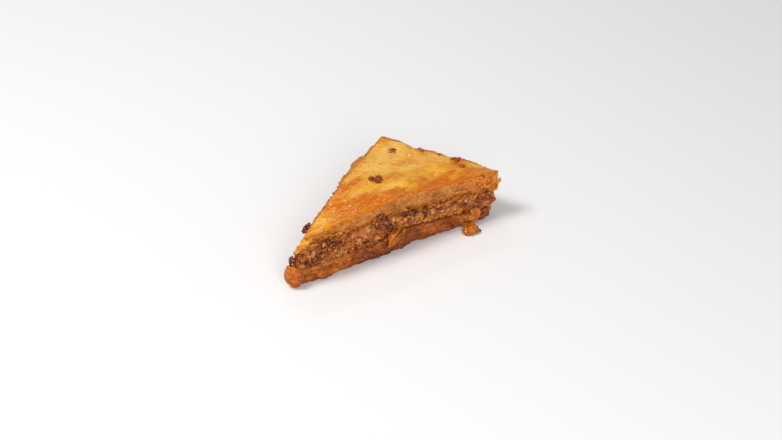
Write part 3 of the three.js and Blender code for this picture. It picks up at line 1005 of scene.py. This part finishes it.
def broken_bits(centres, sizes, seed, level, tones):
    """Nut bits as one set of points, faces and colours. Each is a stretched ball pressed flat against
    several random planes, which leaves broken faces. A bit's tone runs from dark skin at 0 to pale flesh
    at 1, and its broken faces are paler."""
    rng = np.random.default_rng(seed)
    unit, faces = ball(level)
    count = len(centres)
    points = unit[None] * (1 + 0.14 * rng.normal(size=(count, len(unit), 1)))
    planes = rng.normal(size=(count, BREAKS, 3))
    planes /= np.linalg.norm(planes, axis=2)[:, :, None]
    limits = rng.uniform(0.35, 0.8, (count, BREAKS))
    cut = np.zeros((count, len(unit)))
    for k in range(BREAKS):
        over = np.maximum(0, (points * planes[:, k, None]).sum(2) - limits[:, k, None])
        points = points - over[:, :, None] * planes[:, k, None]
        cut = np.maximum(cut, over)
    points = points * rng.uniform(0.65, 1.25, (count, 1, 3))
    q = rng.normal(size=(count, 4))
    q /= np.linalg.norm(q, axis=1)[:, None]
    w, v = q[:, :1, None], q[:, None, 1:]
    points = points + 2 * np.cross(v, np.cross(v, points) + w * points)
    points = points * (np.asarray(sizes)[:, None, None] / 2) + np.asarray(centres)[:, None]
    tone = np.asarray(tones)[:, None]
    tone = tone + (0.08 + 0.2 * tone) * smooth(cut / 0.12) + 0.08 * rng.normal(size=(count, len(unit)))
    tint = np.where(
        tone[..., None] < 0.5,
        three_way(2 * tone.ravel(), SKIN, mix(SKIN, MEAL, 0.6), MEAL).reshape(points.shape),
        three_way(2 * tone.ravel() - 1, MEAL, FLESH, PALE).reshape(points.shape),
    )
    return points.reshape(-1, 3), [repeat_faces(faces, count, len(unit))], tint.reshape(-1, 3)


def filling_floor(x, y):
    """The foot of the nuts, clear of the bottom pastry."""
    return base_at(x, y) + 0.3


def filling_roof(x, y):
    """The top of the nuts, clear of the top pastry."""
    return filling_at(x, y) - 0.15


def filling_level(x, y, share):
    """Height in the filling, from its foot at share 0 to its top at 1."""
    return mix(filling_floor(x, y), filling_roof(x, y), share)


def plan_at(plan, turn, keys=("x", "y", "out_x", "out_y")):
    """Values of a plan between its points, by turn."""
    at = turn * len(plan["turn"])
    return [np.interp(at, np.arange(len(plan[key]) + 1), np.append(plan[key], plan[key][0])) for key in keys]


def side_bulge(share):
    """How far the filling's side stands out at a share of its height."""
    return 1.1 * np.sin(np.pi * (0.12 + 0.76 * share)) - 0.6


def nut_lumps(x, y, z):
    """Coarse and fine relief of the filling's side."""
    return 0.85 * rough_grain(x, y, z, 71, 3.4, 3) + 0.25 * grain(x * 1.4, y * 1.4, z * 1.4, 75)


def side_relief(turn, share):
    """How far the filling's body stands out past its bulge, along the plan by turn and up by share."""
    x, y, calm = plan_at(NUT_PLAN, turn, ("x", "y", "calm"))
    return mix(0.4, 1, calm) * nut_lumps(x, y, filling_level(x, y, share))


def side_places(turn, share, out):
    """Points on the filling's side: along the plan by turn, up by share, and out by a distance."""
    x, y, out_x, out_y = plan_at(NUT_PLAN, turn)
    bulge = side_bulge(share) + 0.2
    px = x + out_x * (out + bulge) + TIP_SLOPE * share * hill(x, 13)
    py = y + out_y * (out + bulge)
    return np.column_stack([px, py, filling_level(x, y, share)])


# Dark and pale places on the long cut of the nuts: place, height, reach and change of tone.
NUT_SHADES = [
    (19.8, 18.5, 3.6, -0.18),
    (27.4, 17.6, 3.6, -0.18),
    (16.7, 10.8, 5.0, -0.22),
    (9.1, 12.9, 3.0, -0.26),
    (25.0, 15.0, 9.0, -0.18),
    (92.0, 14.0, 4.0, -0.12),
    (45.7, 10.4, 6.0, -0.22),
    (105.7, 9.9, 4.0, -0.16),
    (58.4, 19.6, 4.5, -0.14),
    (62.1, 16.0, 2.6, -0.45),
    (71.0, 19.6, 3.5, -0.30),
    # The dark place at 86 mm is painted shade of holes in the cut.
    (86.1, 15.5, 1.6, -0.45),
    (110.0, 14.0, 3.4, -0.26),
    (114.0, 7.6, 3.0, -0.32),
    (124.2, 12.6, 3.6, -0.20),
    (46.0, 19.0, 6.0, 0.24),
    (64.8, 19.0, 2.2, 0.40),
    (79.9, 15.8, 3.0, 0.24),
    (101.1, 15.1, 4.0, 0.26),
    (114.5, 14.4, 2.0, 0.22),
    (34.5, 13.5, 4.0, 0.14),
]


def clump_tone(places):
    """The tone of nuts at a place: they lie in darker and paler clumps, with painted shade in the hollows
    between.
    """
    x, y, z = places.T
    # Painted shade: dark patches of noise stand for the shade in hollows between the nuts.
    hollow = smooth((rough_grain(x, y, z * 1.3, CLUMP_SEED + 5, 2.8, 2) - 0.22) / 0.25)
    tone = 0.62 + 0.26 * rough_grain(x, y, z, CLUMP_SEED, 7.0, 2) - 0.5 * hollow
    for px, pz, reach, change in NUT_SHADES:
        tone = tone + change * hill(np.hypot(x - px, z - pz), reach) * hill(y, 12)
    return tone


def make_nut_core():
    """The body of the filling: rings up its side, pushed in and out by coarse and fine noise."""
    rows = 28
    calm = mix(0.4, 1, NUT_PLAN["calm"])
    x, y = NUT_PLAN["x"], NUT_PLAN["y"]
    side = []
    for row in range(rows + 1):
        share = row / rows
        reach = side_bulge(share) + calm * nut_lumps(x, y, filling_level(x, y, share))
        level = functools.partial(filling_level, share=share)
        side.append(ring(NUT_PLAN, reach, level, 1, TIP_SLOPE * share))

    def under(x, y):
        """The underside, within the side."""
        return filling_floor(x, y) + 0.15

    def over(x, y):
        """The top, within the side."""
        return filling_roof(x, y) - 0.15

    low = [ring(NUT_PLAN, 0, under, share) for share in (0.4, 0.8, 0.93)]
    high = [ring(NUT_PLAN, 0, over, share, TIP_SLOPE * share**2) for share in (0.93, 0.8, 0.4)]
    points, faces = closed_loft(low + side + high)
    x, y, z = points.T
    tone = clump_tone(points) + 0.25 * grain(x, y, z, 85) - 0.12
    tint = three_way(tone, SKIN, MEAL, FLESH)
    piece = add_piece("nut_meal", points, faces, NUTS, tint)
    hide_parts("nut_filling")


# Large nuts spread by the golden ratio over stations round the side.
LARGE_NUTS = 29
STATIONS = 108
GOLDEN = 0.61803

# Fine grains of nut between the larger bits.
NUT_GRAINS = 2600

# Large nuts that stand out at the thin tip, behind it and along the cut: place, size and tone.
EDGE_NUTS = [
    (6.6, 3.4, 13.2, 3.8, 0.0),
    (22.9, 14.2, 21.2, 3.6, 0.05),
    (22.4, 13.8, 23.0, 3.0, 0.0),
    (19.6, 12.3, 21.8, 3.2, 0.1),
    (89.3, 2.0, 13.9, 3.2, 1.0),
    (64.8, 0.4, 19.2, 3.0, 0.95),
    (49.8, 0.4, 17.6, 2.6, 0.9),
    (79.6, 1.2, 15.6, 2.6, 0.85),
    (124.4, 1.6, 8.6, 2.4, 0.85),
    (22.6, -0.4, 19.4, 2.6, 0.8),
    (128.6, 2.2, 9.2, 2.0, 0.9),
]

# Seed, number, lowest and highest share of the side's height, depth, and least and greatest size.
NUT_SCATTER = [
    (4, 230, 0.06, 0.94, -0.8, 2.1, 3.4),
    (18, 700, 0.03, 0.97, -0.5, 1.1, 2.0),
    (27, 420, 0.0, 0.1, -0.6, 1.0, 2.2),
]

# Clumps of nut that stand out of the cut: place, spread, number and tone.
NUT_CLUMPS = [
    ((58.0, 0.6, 18.4), (3.6, 0.8, 2.8), 50, 0.20),
    ((58.6, 1.7, 21.6), (3.2, 0.9, 2.2), 40, 0.22),
    ((62.2, 0.9, 15.8), (1.8, 0.6, 1.8), 20, 0.0),
    ((25.0, 0.2, 18.6), (5.0, 0.9, 2.6), 60, 0.14),
    ((17.0, 0.2, 12.2), (6.0, 0.8, 2.4), 60, 0.08),
    ((31.0, 0.2, 15.6), (4.0, 0.6, 2.0), 36, 0.22),
    ((47.0, 0.2, 10.6), (5.0, 0.6, 1.8), 40, 0.28),
    ((76.0, 2.4, 18.0), (4.4, 0.6, 1.1), 44, 0.06),
    # The dark clump at 86 mm stands for holes in the cut: painted shade.
    ((86.1, 2.4, 15.2), (1.4, 0.6, 3.0), 26, 0.0),
    ((93.0, 2.2, 13.4), (2.6, 0.6, 1.4), 26, 0.10),
    ((106.0, 2.2, 15.0), (5.0, 0.6, 1.0), 36, 0.10),
    ((113.5, 1.4, 8.4), (3.0, 0.8, 1.2), 30, 0.04),
    ((121.0, 1.8, 12.4), (4.0, 0.8, 1.2), 30, 0.16),
    ((126.0, 3.4, 12.2), (3.0, 1.2, 1.4), 34, 0.06),
    ((21.8, 13.4, 22.2), (3.6, 2.2, 1.6), 30, 0.05),
    ((7.2, 3.2, 12.8), (2.2, 2.0, 2.6), 34, 0.05),
    ((10.6, 5.4, 15.2), (2.0, 1.2, 1.8), 20, 0.55),
]


def make_nut_bits():
    """Broken walnuts all over the filling's side: the large ones by the golden ratio, the rest by
    chance, with clumps that stand out of the long cut."""
    rng = np.random.default_rng(17)
    k = np.arange(LARGE_NUTS)
    turn = np.floor((k + 0.5 * chance(k, 5)) / LARGE_NUTS * STATIONS) / STATIONS
    places = side_places(turn, mix(0.14, 0.84, (k * GOLDEN) % 1), 0.3)
    places = np.vstack([places] + [nut[:3] for nut in EDGE_NUTS])
    sizes = np.concatenate([2.4 + 2.2 * chance(k, 6), [nut[3] for nut in EDGE_NUTS]])
    tones = np.concatenate([0.15 + 0.45 * chance(k, 7), [nut[4] for nut in EDGE_NUTS]])
    bodies = [broken_bits(places, sizes, 3, 2, tones)]
    for seed, count, low, high, deep, small, large in NUT_SCATTER:
        share, turn = rng.uniform(low, high, count), rng.uniform(0, 1, count)
        out = np.minimum(rng.uniform(deep, deep + 0.8, count), side_relief(turn, share) + 0.4)
        places = side_places(turn, share, out)
        tones = np.minimum(clump_tone(places) + 0.18 * rng.normal(size=count), 0.78)
        bodies.append(broken_bits(places, rng.uniform(small, large, count), seed, 1, tones))
    for seed, (place, spread, count, tone) in enumerate(NUT_CLUMPS):
        places = np.array(place) + np.array(spread) * np.clip(rng.normal(size=(count, 3)) * 0.5, -0.8, 0.8)
        tones = tone + 0.2 * rng.normal(size=count)
        bodies.append(broken_bits(places, rng.uniform(1.2, 2.6, count), 40 + seed, 1, tones))
    points, faces, tint = join(bodies)
    add_piece("nut_pieces", points, faces, NUTS, tint)
    turn, share = rng.uniform(0, 1, NUT_GRAINS), rng.uniform(0, 1, NUT_GRAINS)
    places = side_places(turn, share, side_relief(turn, share) + rng.uniform(-0.5, -0.2, NUT_GRAINS))
    tones = np.minimum(clump_tone(places) + 0.16 * rng.normal(size=NUT_GRAINS), 0.8)
    points, faces, tint = broken_bits(places, rng.uniform(0.4, 1.1, NUT_GRAINS), 19, 0, tones)
    add_piece("nut_grains", points, faces, NUTS, tint)


# Clusters of nut crumbs on the glaze: place, number and size of the large bits, and tone.
CRUMB_CLUSTERS = [
    (67.4, 20.7, 3, 3.6, 0.0),
    (94.2, 45.1, 2, 3.0, 0.5),
    (108.9, 39.6, 2, 3.2, 0.45),
    (114.6, 31.2, 1, 2.2, 0.5),
    (119.0, 21.6, 3, 2.9, 0.25),
    (116.9, 14.0, 2, 2.2, 0.4),
]


def make_fallen_crumbs():
    """Nut crumbs stuck to the glaze: each cluster has a few large bits and small ones round them."""
    plan, sizes, tones = [], [], []
    rng = np.random.default_rng(23)
    for cluster, (x, y, bits, size, tone) in enumerate(CRUMB_CLUSTERS):
        angle = 2.4 * np.arange(bits) + cluster
        spread = 0.5 * size if bits > 1 else 0.0
        plan.append(np.column_stack([x + spread * np.cos(angle), y + spread * np.sin(angle)]))
        small = 8 * bits
        plan.append(np.array([x, y]) + rng.normal(size=(small, 2)) * size * 0.42)
        sizes.append(np.concatenate([np.full(bits, size), rng.uniform(0.25, 0.6, small) * size]))
        tones.append(tone + 0.12 * rng.normal(size=bits + small))
    plan, sizes, tones = np.vstack(plan), np.concatenate(sizes), np.concatenate(tones)
    plan = np.where((lid_room(*plan.T) < 0.6)[:, None], mix(plan, HEART, 0.07), plan)
    z = glaze_at(plan[:, 0], plan[:, 1]) + 0.15 * sizes
    points, faces, tint = broken_bits(np.column_stack([plan, z]), sizes, 24, 1, tones)
    add_piece("fallen_crumbs", points, faces, NUTS, mix(tint, RUSSET, 0.45))


# ---------------------------------------------------------------- loose flakes


def strip(path, width, thickness, seed, twist=0.0, wave=0.25):
    """A thin flake carried along a smooth curve through a few points: its section is a flat strip with
    a curved back, its edges are ragged, and it narrows at both ends."""
    steps, across = 40, 9
    path = np.asarray(path, float)
    knots = np.linspace(0, 1, len(path))
    t = np.linspace(0, 1, steps)
    bend = np.polyfit(knots, path, len(path) - 1)
    centre = np.stack([np.polyval(bend[:, k], t) for k in range(3)], -1)
    along = np.gradient(centre, axis=0)
    along /= np.linalg.norm(along, axis=1)[:, None]
    side = np.array([math.cos(twist), 0, math.sin(twist)]) + 0 * along
    side -= (side * along).sum(1)[:, None] * along
    side /= np.linalg.norm(side, axis=1)[:, None]
    up = np.cross(side, along)
    narrow = 0.72 + 0.28 * np.sin(np.pi * (t + 0.08) / 1.16)
    narrow = narrow * (1 + 0.22 * ripple(t * 0.9, 9, seed) + 0.10 * ripple(t * 0.9, 23, seed + 1))
    s = np.linspace(-1, 1, across)
    lift = wave * np.outer(ripple(t * 0.9, 5, seed + 2), 1 - s**2)
    lift += 0.6 * wave * ripple((0.9 * t[:, None] + 0.13 * s[None]) % 1, 11, seed + 3)
    half = (width / 2 * narrow)[:, None, None]
    raised = up[:, None] * (lift + thickness / 2)[..., None]
    over = centre[:, None] + side[:, None] * s[None, :, None] * half + raised
    under = over - up[:, None] * thickness
    return np.vstack([over.reshape(-1, 3), under.reshape(-1, 3)]), sheet_faces(steps, across)


def each_tone(rng, tones, points, spread):
    """A tone for every point of several like bodies: that of its body, and a little chance."""
    return np.repeat(tones, len(points) // len(tones)) + spread * rng.normal(size=len(points))


def add_strips(name, strips, material, low, high, seed):
    """Several strips as one piece, coloured between two colours by noise."""
    points = np.vstack([points for points, _ in strips])
    points[:, 2] = np.maximum(points[:, 2], 0.02)
    faces = repeat_faces(strips[0][1], len(strips), len(strips[0][0]))
    tone = 0.5 + 0.7 * rough_grain(*points.T, seed, 2.5)
    add_piece(name, points, [faces], material, mix(low, high, np.clip(tone, 0, 1)[:, None]))


# Where the foot flakes hang along the cut, and the numbers of crumpled bits on the table and on the cut.
FOOT_FLAKES_X = 0.83 * CUT
LOW_BITS = 60
HIGH_BITS = 18


def make_foot_flakes():
    """A torn curl of the bottom sheets that hangs from the foot of the cut, and a crumpled lump of
    them on the table before it."""
    x = FOOT_FLAKES_X
    strips = [
        strip([[x + 0.4, 2.6, 6.4], [x + 0.9, -1.2, 5.4], [x + 1.0, -1.9, 1.6]], 5.2, 0.5, 503, 0.2, 0.9),
        strip([[x + 2.4, 2.4, 7.4], [x + 3.2, -0.8, 6.6], [x + 3.6, -1.4, 3.6]], 4.0, 0.4, 504, 0.5, 0.7),
        strip([[x - 3.0, 1.6, 5.4], [x - 2.4, -0.4, 4.6], [x - 2.2, -0.8, 2.4]], 3.0, 0.4, 505, 0.2, 0.7),
        strip([[x - 1, 0.8, 1.2], [x - 3.4, -4.2, 2.0], [x - 6.0, -8.8, 1.0]], 6.4, 0.5, 501, 0.0, 0.9),
    ]
    add_strips("foot_flakes", strips, SOAKED, mix(RUSSET, CRUST, 0.5), APRICOT, 505)
    rng = np.random.default_rng(53)
    angle = rng.uniform(0, 2 * np.pi, LOW_BITS)
    spread = np.sqrt(rng.uniform(0, 1, LOW_BITS))
    along, across = spread * np.cos(angle), spread * np.sin(angle)
    low_x, low_y = x - 4.8 + 4.2 * along + 0.8 * across, -7.4 + 3.2 * across - 0.8 * along
    low = np.column_stack([low_x, low_y, 0.7 + 2.6 * (1 - spread**2)])
    high = np.array([x + 1.2, -1.4, 4.6]) + rng.normal(size=(HIGH_BITS, 3)) * [1.8, 0.5, 1.3]
    at = np.vstack([low, high])
    up_out = np.column_stack([along, across - 0.6, 1.2 - spread])
    out = np.vstack([up_out, np.tile([0.1, -1.0, 0.3], (HIGH_BITS, 1))])
    points, faces = patches(rng, at, out, (0.8, 2.0), (0.6, 1.2), 0.45)
    points[:, 2] = np.maximum(points[:, 2], 0.03)
    tone = each_tone(rng, rng.uniform(0, 1, len(at)), points, 0.15)
    dark = smooth((points[:, 0] - x + 3.2) / 4) * (points[:, 1] < -3)
    tint = mix(three_way(tone, RUSSET, BRIGHT, TAN), SYRUP_DARK, 0.6 * dark[:, None])
    add_piece("foot_crumple", points, [faces], SOAKED, tint)


# The fan of shreds: ends of the line of their heads, and of the short line of their feet.
SHRED_HEADS = np.array([[66.4, 1.2, 15.4], [73.2, 0.6, 9.8]])
SHRED_FEET = np.array([[59.6, -0.6, 9.0], [60.8, -1.0, 4.2]])
SHREDS = 13


def make_shreds():
    """A fan of narrow shreds of sheet that hangs over the nuts at the middle of the cut."""
    rng = np.random.default_rng(47)
    strips = []
    for k in range(SHREDS):
        share = (k + 0.4 * rng.uniform()) / SHREDS
        head, foot = mix(*SHRED_HEADS, share), mix(*SHRED_FEET, share)
        foot = mix(foot, head, rng.uniform(0, 0.4) * (1 - share))
        middle = (head + foot) / 2 + 0.3 * rng.normal(size=3) - [0, rng.uniform(0.3, 0.9), 0]
        strips.append(strip([head, middle, foot], rng.uniform(1.0, 1.7), 0.4, 510 + 5 * k, 0.9, 0.15))
    points = np.vstack([points for points, _ in strips])
    faces = repeat_faces(strips[0][1], SHREDS, len(strips[0][0]))
    tone = np.repeat(rng.uniform(0.0, 0.7, SHREDS), len(strips[0][0]))
    tint = three_way(tone + 0.3 * rough_grain(*points.T, 560, 2.0), RUSSET, CRUST, TAN)
    add_piece("pastry_shreds", points, [faces], LAYERS, tint)


def make_top_flakes():
    """A flap of the top sheets that droops over the thin tip, and a torn corner at the far end."""
    x = CUT - 4.5
    strips = [
        strip([[20, 5, 22.6], [15.4, 4.2, 21.6], [11.8, 3.4, 17.4]], 5.6, 0.6, 571, 0.4, 0.4),
        strip([[18.5, 3.8, 23.2], [14.0, 3.0, 21.8], [12.0, 2.2, 19.0]], 4.6, 0.5, 573, 0.4, 0.4),
        strip([[13.5, 4.6, 19.4], [11.4, 4.4, 17.6], [10.2, 4.0, 15.8]], 3.8, 0.4, 577, 0.5, 0.4),
        strip([[x - 3, 3.4, 17.6], [x - 0.5, 3, 17.9], [x + 2.8, 2.8, 18.6]], 3.6, 0.5, 575, 1.3, 0.3),
    ]
    add_strips("corner_flakes", strips, GLAZED, ORANGE, HONEY, 580)


def patches(rng, at, out, length, width, tilt):
    """Small closed patches of sheet at given places, bent a little and tilted by chance from the
    direction they face. Each is a grid whose rows narrow towards both ends."""
    count, rows, columns = len(at), 6, 4
    out = out + tilt * rng.normal(size=(count, 3))
    out /= np.linalg.norm(out, axis=1)[:, None]
    along = np.cross(out, [0, 0, 1]) + [0, 0, 1] * rng.normal(size=(count, 1)) * 0.5
    along -= (along * out).sum(1)[:, None] * out
    along /= np.linalg.norm(along, axis=1)[:, None]
    across = np.cross(out, along)
    u = np.linspace(-1, 1, rows)[None, :, None]
    v = np.linspace(-1, 1, columns)[None, None, :]
    narrow = np.sqrt(1.08 - u**2) * (1 + 0.25 * rng.normal(size=(count, rows, 1)))
    bend = rng.uniform(-0.5, 0.25, (count, 1, 1)) * u**2 + 0.12 * rng.normal(size=(count, rows, columns))
    reach = (u * rng.uniform(*length, (count, 1, 1)) + 0 * v)[..., None] * along[:, None, None]
    spread = (v * narrow * rng.uniform(*width, (count, 1, 1)))[..., None] * across[:, None, None]
    over = at[:, None, None] + reach + spread + bend[..., None] * out[:, None, None]
    under = over - 0.3 * out[:, None, None]
    points = np.concatenate([over.reshape(count, -1, 3), under.reshape(count, -1, 3)], 1)
    return points.reshape(-1, 3), repeat_faces(sheet_faces(rows, columns), count, 2 * rows * columns)


# Scraps of sheet on the sides: number, share of the filling's height where they lie, and its spread.
SCRAP_BANDS = [(130, 0.5, 0.3), (150, 1.03, 0.07), (120, -0.03, 0.07)]

# Stretches of the long cut where the lowest sheets of the top pastry are smeared down over the nuts:
# where each starts and ends, number of scraps, height above the nuts, and tone.
HEM_STRETCHES = [
    (14, 36, 26, 0.0, 0.35),
    (38, 56, 24, -0.1, 0.5),
    (66, 75, 26, -0.4, 0.85),
    (77, 98, 30, 0.1, 0.5),
    (98, 114, 22, 0.3, 0.4),
    (114, 128, 20, 0.2, 0.6),
]


def make_scraps():
    """Scraps of sheet that the knife has smeared over the sides, most of them where two layers meet."""
    rng = np.random.default_rng(31)
    bands = [middle + spread * rng.normal(size=number) for number, middle, spread in SCRAP_BANDS]
    share = np.concatenate(bands)
    count = len(share)
    turn = rng.uniform(0, 1, count)
    beyond = share - np.clip(share, 0, 1)
    at = side_places(turn, np.clip(share, 0, 1), -0.7 * (beyond > 0))
    at[:, 2] += 8.0 * beyond
    out = np.column_stack([*plan_at(NUT_PLAN, turn, ("out_x", "out_y")), 0 * turn])
    at = at + out * rng.uniform(0.0, 0.5, (count, 1))
    tone = rng.uniform(0.05, 0.85, count)
    for start, end, number, middle, shade in HEM_STRETCHES:
        x = rng.uniform(start, end, number)
        y = CUT_LEAN + 0.9 + CUT_HOLLOW * hill(x - 0.59 * CUT, 24)
        z = filling_at(x, y) + middle + 0.5 * rng.normal(size=number)
        at = np.vstack([at, np.column_stack([x, y - 0.6 * rng.uniform(size=number), z])])
        out = np.vstack([out, np.tile([0.0, -1.0, 0.0], (number, 1))])
        tone = np.concatenate([tone, shade + 0.15 * rng.normal(size=number)])
    points, faces = patches(rng, at, out, (0.7, 1.9), (0.4, 0.95), 0.25)
    tint = three_way(each_tone(rng, tone, points, 0.1), RUSSET, CRUST, TAN)
    add_piece("pastry_scraps", points, [faces], LAYERS, tint)


# Flakes at the far end of the top pastry: number, and distance from the end that they keep within.
CRUST_FLAKES = 70
CRUST_REACH = 17


def make_crust_flakes():
    """Crumpled flakes of the top sheets round the far end."""
    rng = np.random.default_rng(37)
    count = CRUST_FLAKES
    ends = np.flatnonzero(away(LID_PLAN["x"], LID_PLAN["y"], END) < CRUST_REACH)
    turn = LID_PLAN["turn"][rng.choice(ends, count)]
    x, y, out_x, out_y = plan_at(LID_PLAN, turn)
    share = rng.uniform(0.1, 0.95, count)
    z = mix(filling_at(x, y), crown_at(x, y), share)
    out = np.column_stack([out_x, out_y, 0 * turn])
    at = np.column_stack([x, y, z]) + out * rng.uniform(0.0, 0.5, (count, 1))
    points, faces = patches(rng, at, out, (0.7, 1.8), (0.5, 1.2), 0.5)
    tone = each_tone(rng, rng.uniform(0, 1, count), points, 0.15)
    add_piece("crust_flakes", points, [faces], GLAZED, three_way(tone, RIM, APRICOT, AMBER))


# Crumbs on the back edge of the top pastry: places with most, number at each, and number elsewhere.
CRUMB_STRETCHES = [18, 22, 34, 35.5, 39, 40.5, 44.5]
CRUMBS_EACH = 5
CRUMBS_APART = 24


def make_edge_crumbs():
    """Dark crumbs caught on the back edge of the top pastry, near its thin tip."""
    rng = np.random.default_rng(41)
    back = np.flatnonzero(LID_PLAN["out_y"] > 0.5)
    together = np.repeat(CRUMB_STRETCHES, CRUMBS_EACH)
    together = together + rng.normal(size=len(together))
    along = np.concatenate([together, rng.uniform(24, 90, CRUMBS_APART)])
    nearest = back[np.abs(LID_PLAN["x"][back][None] - along[:, None]).argmin(1)]
    x, y, out_x, out_y = plan_at(LID_PLAN, LID_PLAN["turn"][nearest])
    out = rng.uniform(-0.1, 0.6, len(along))
    z = crown_at(x, y) - rng.uniform(0.5, 2.6, len(along))
    places = np.column_stack([x + out * out_x, y + out * out_y, z])
    sizes = rng.uniform(1.2, 2.4, len(along))
    points, faces, tint = broken_bits(places, sizes, 42, 1, rng.uniform(0, 0.3, len(along)))
    add_piece("edge_crumbs", points, faces, NUTS, tint)


# Large flat drops of syrup on the glaze: place and radius.
DROPS = [
    (37.2, 12.8, 1.3),
    (44.9, 10.0, 1.5),
    (33.5, 10.7, 0.9),
    (33.8, 5.8, 1.0),
    (36.7, 15.6, 0.8),
    (48.9, 14.3, 0.9),
]

# Small drops: the middle of those near the thin tip, their number, and the number tried elsewhere.
BEADS_AT = np.array([34.0, 12.0])
NEAR_BEADS = 26
FAR_BEADS = 150


def make_syrup_beads():
    """Drops of syrup on the glaze: low round domes, most of them near the thin tip."""
    rng = np.random.default_rng(43)
    near = BEADS_AT + rng.normal(size=(NEAR_BEADS, 2)) * [3.6, 2.8]
    spots = np.vstack([near, rng.uniform((25, 5), (125, 55), (FAR_BEADS, 2))])
    spots = spots[lid_room(*spots.T) > 2.0]
    radius = np.concatenate([[drop[2] for drop in DROPS], rng.uniform(0.18, 0.55, len(spots))])
    spots = np.vstack([[drop[:2] for drop in DROPS], spots])
    unit, faces = ball(1)
    height = np.minimum(0.5 * radius, 0.28)
    centre = np.column_stack([spots, glaze_at(*spots.T)])
    points = centre[:, None] + unit[None] * np.column_stack([radius, radius, height])[:, None]
    tint = np.tile(mix(ORANGE, AMBER, 0.5), (len(spots) * len(unit), 1))
    faces = repeat_faces(faces, len(spots), len(unit))
    add_piece("syrup_beads", points.reshape(-1, 3), [faces], SYRUP, tint)


def make_slice():
    """All sixteen pieces of the slice."""
    make_bottom_stack()
    make_nut_core()
    make_nut_bits()
    make_top_stack()
    make_glazed_sheet()
    make_sheet_patches()
    make_fallen_crumbs()
    make_foot_flakes()
    make_shreds()
    make_top_flakes()
    make_crust_flakes()
    make_scraps()
    make_edge_crumbs()
    make_syrup_beads()


# ---------------------------------------------------------------- floor, light and camera

# Half the side of the floor, in metres, and how far it lies below the slice.
FLOOR_REACH = 6.0
FLOOR_DROP = 0.00005

# Point that the camera looks at, direction from there back to it, and distance in metres.
VIEW_AT = np.array([80.5, 26.1, 0.0])
VIEW_BACK = np.array([-0.474, -0.705, 0.527])
VIEW_AWAY = 1.055

# Focal length, in pixels of an image of this width.
FOCAL_PIXELS = 2018.0
IMAGE_WIDTH = 782.0


def make_floor():
    """A wide pale table."""
    mesh = bpy.data.meshes.new("floor")
    corners = [(FLOOR_REACH * x, FLOOR_REACH * y, 0) for x, y in ((-1, -1), (1, -1), (1, 1), (-1, 1))]
    mesh.from_pydata(corners, [], [(0, 1, 2, 3)])
    surface = Shader("floor").finish(Base_Color=rgba(244, 243, 242), Roughness=0.6, Specular_IOR_Level=0.2)
    mesh.materials.append(surface)
    floor = bpy.data.objects.new("floor", mesh)
    floor.location.z = -FLOOR_DROP
    bpy.context.scene.collection.objects.link(floor)


def make_light(name, place, size, power):
    """A soft white square light that faces the slice."""
    lamp = bpy.data.lights.new(name, "AREA")
    lamp.size = size
    lamp.energy = power
    holder = bpy.data.objects.new(name, lamp)
    holder.location = place
    holder.rotation_euler = (-Vector(place)).to_track_quat("-Z", "Y").to_euler()
    bpy.context.scene.collection.objects.link(holder)


def make_studio():
    """A pale surround and three lights: a key from behind, a fill from the front and a small window."""
    world = bpy.data.worlds.new("studio")
    bpy.context.scene.world = world
    world.use_nodes = True
    background = world.node_tree.nodes["Background"]
    background.inputs["Color"].default_value = (0.98, 0.99, 1.0, 1)
    background.inputs["Strength"].default_value = 0.34
    make_light("key", (-0.55, 0.25, 0.95), 0.40, 7.6)
    make_light("fill", (-0.35, -0.95, 0.55), 0.6, 6.0)
    make_light("window", (0.31, 0.66, 0.60), 0.10, 0.45)
    bpy.context.scene.view_settings.view_transform = "Standard"


def make_camera():
    """The camera, level, looking down at the long cut."""
    data = bpy.data.cameras.new("camera")
    data.sensor_width = 36.0
    data.lens = FOCAL_PIXELS / IMAGE_WIDTH * data.sensor_width
    camera = bpy.data.objects.new("camera", data)
    target = Vector((VIEW_AT + SHIFT) * MM)
    back = Vector(VIEW_BACK).normalized()
    camera.location = target + VIEW_AWAY * back
    camera.rotation_euler = (-back).to_track_quat("-Z", "Y").to_euler()
    bpy.context.scene.collection.objects.link(camera)
    bpy.context.scene.camera = camera


make_camera()
make_slice()
make_floor()
make_studio()
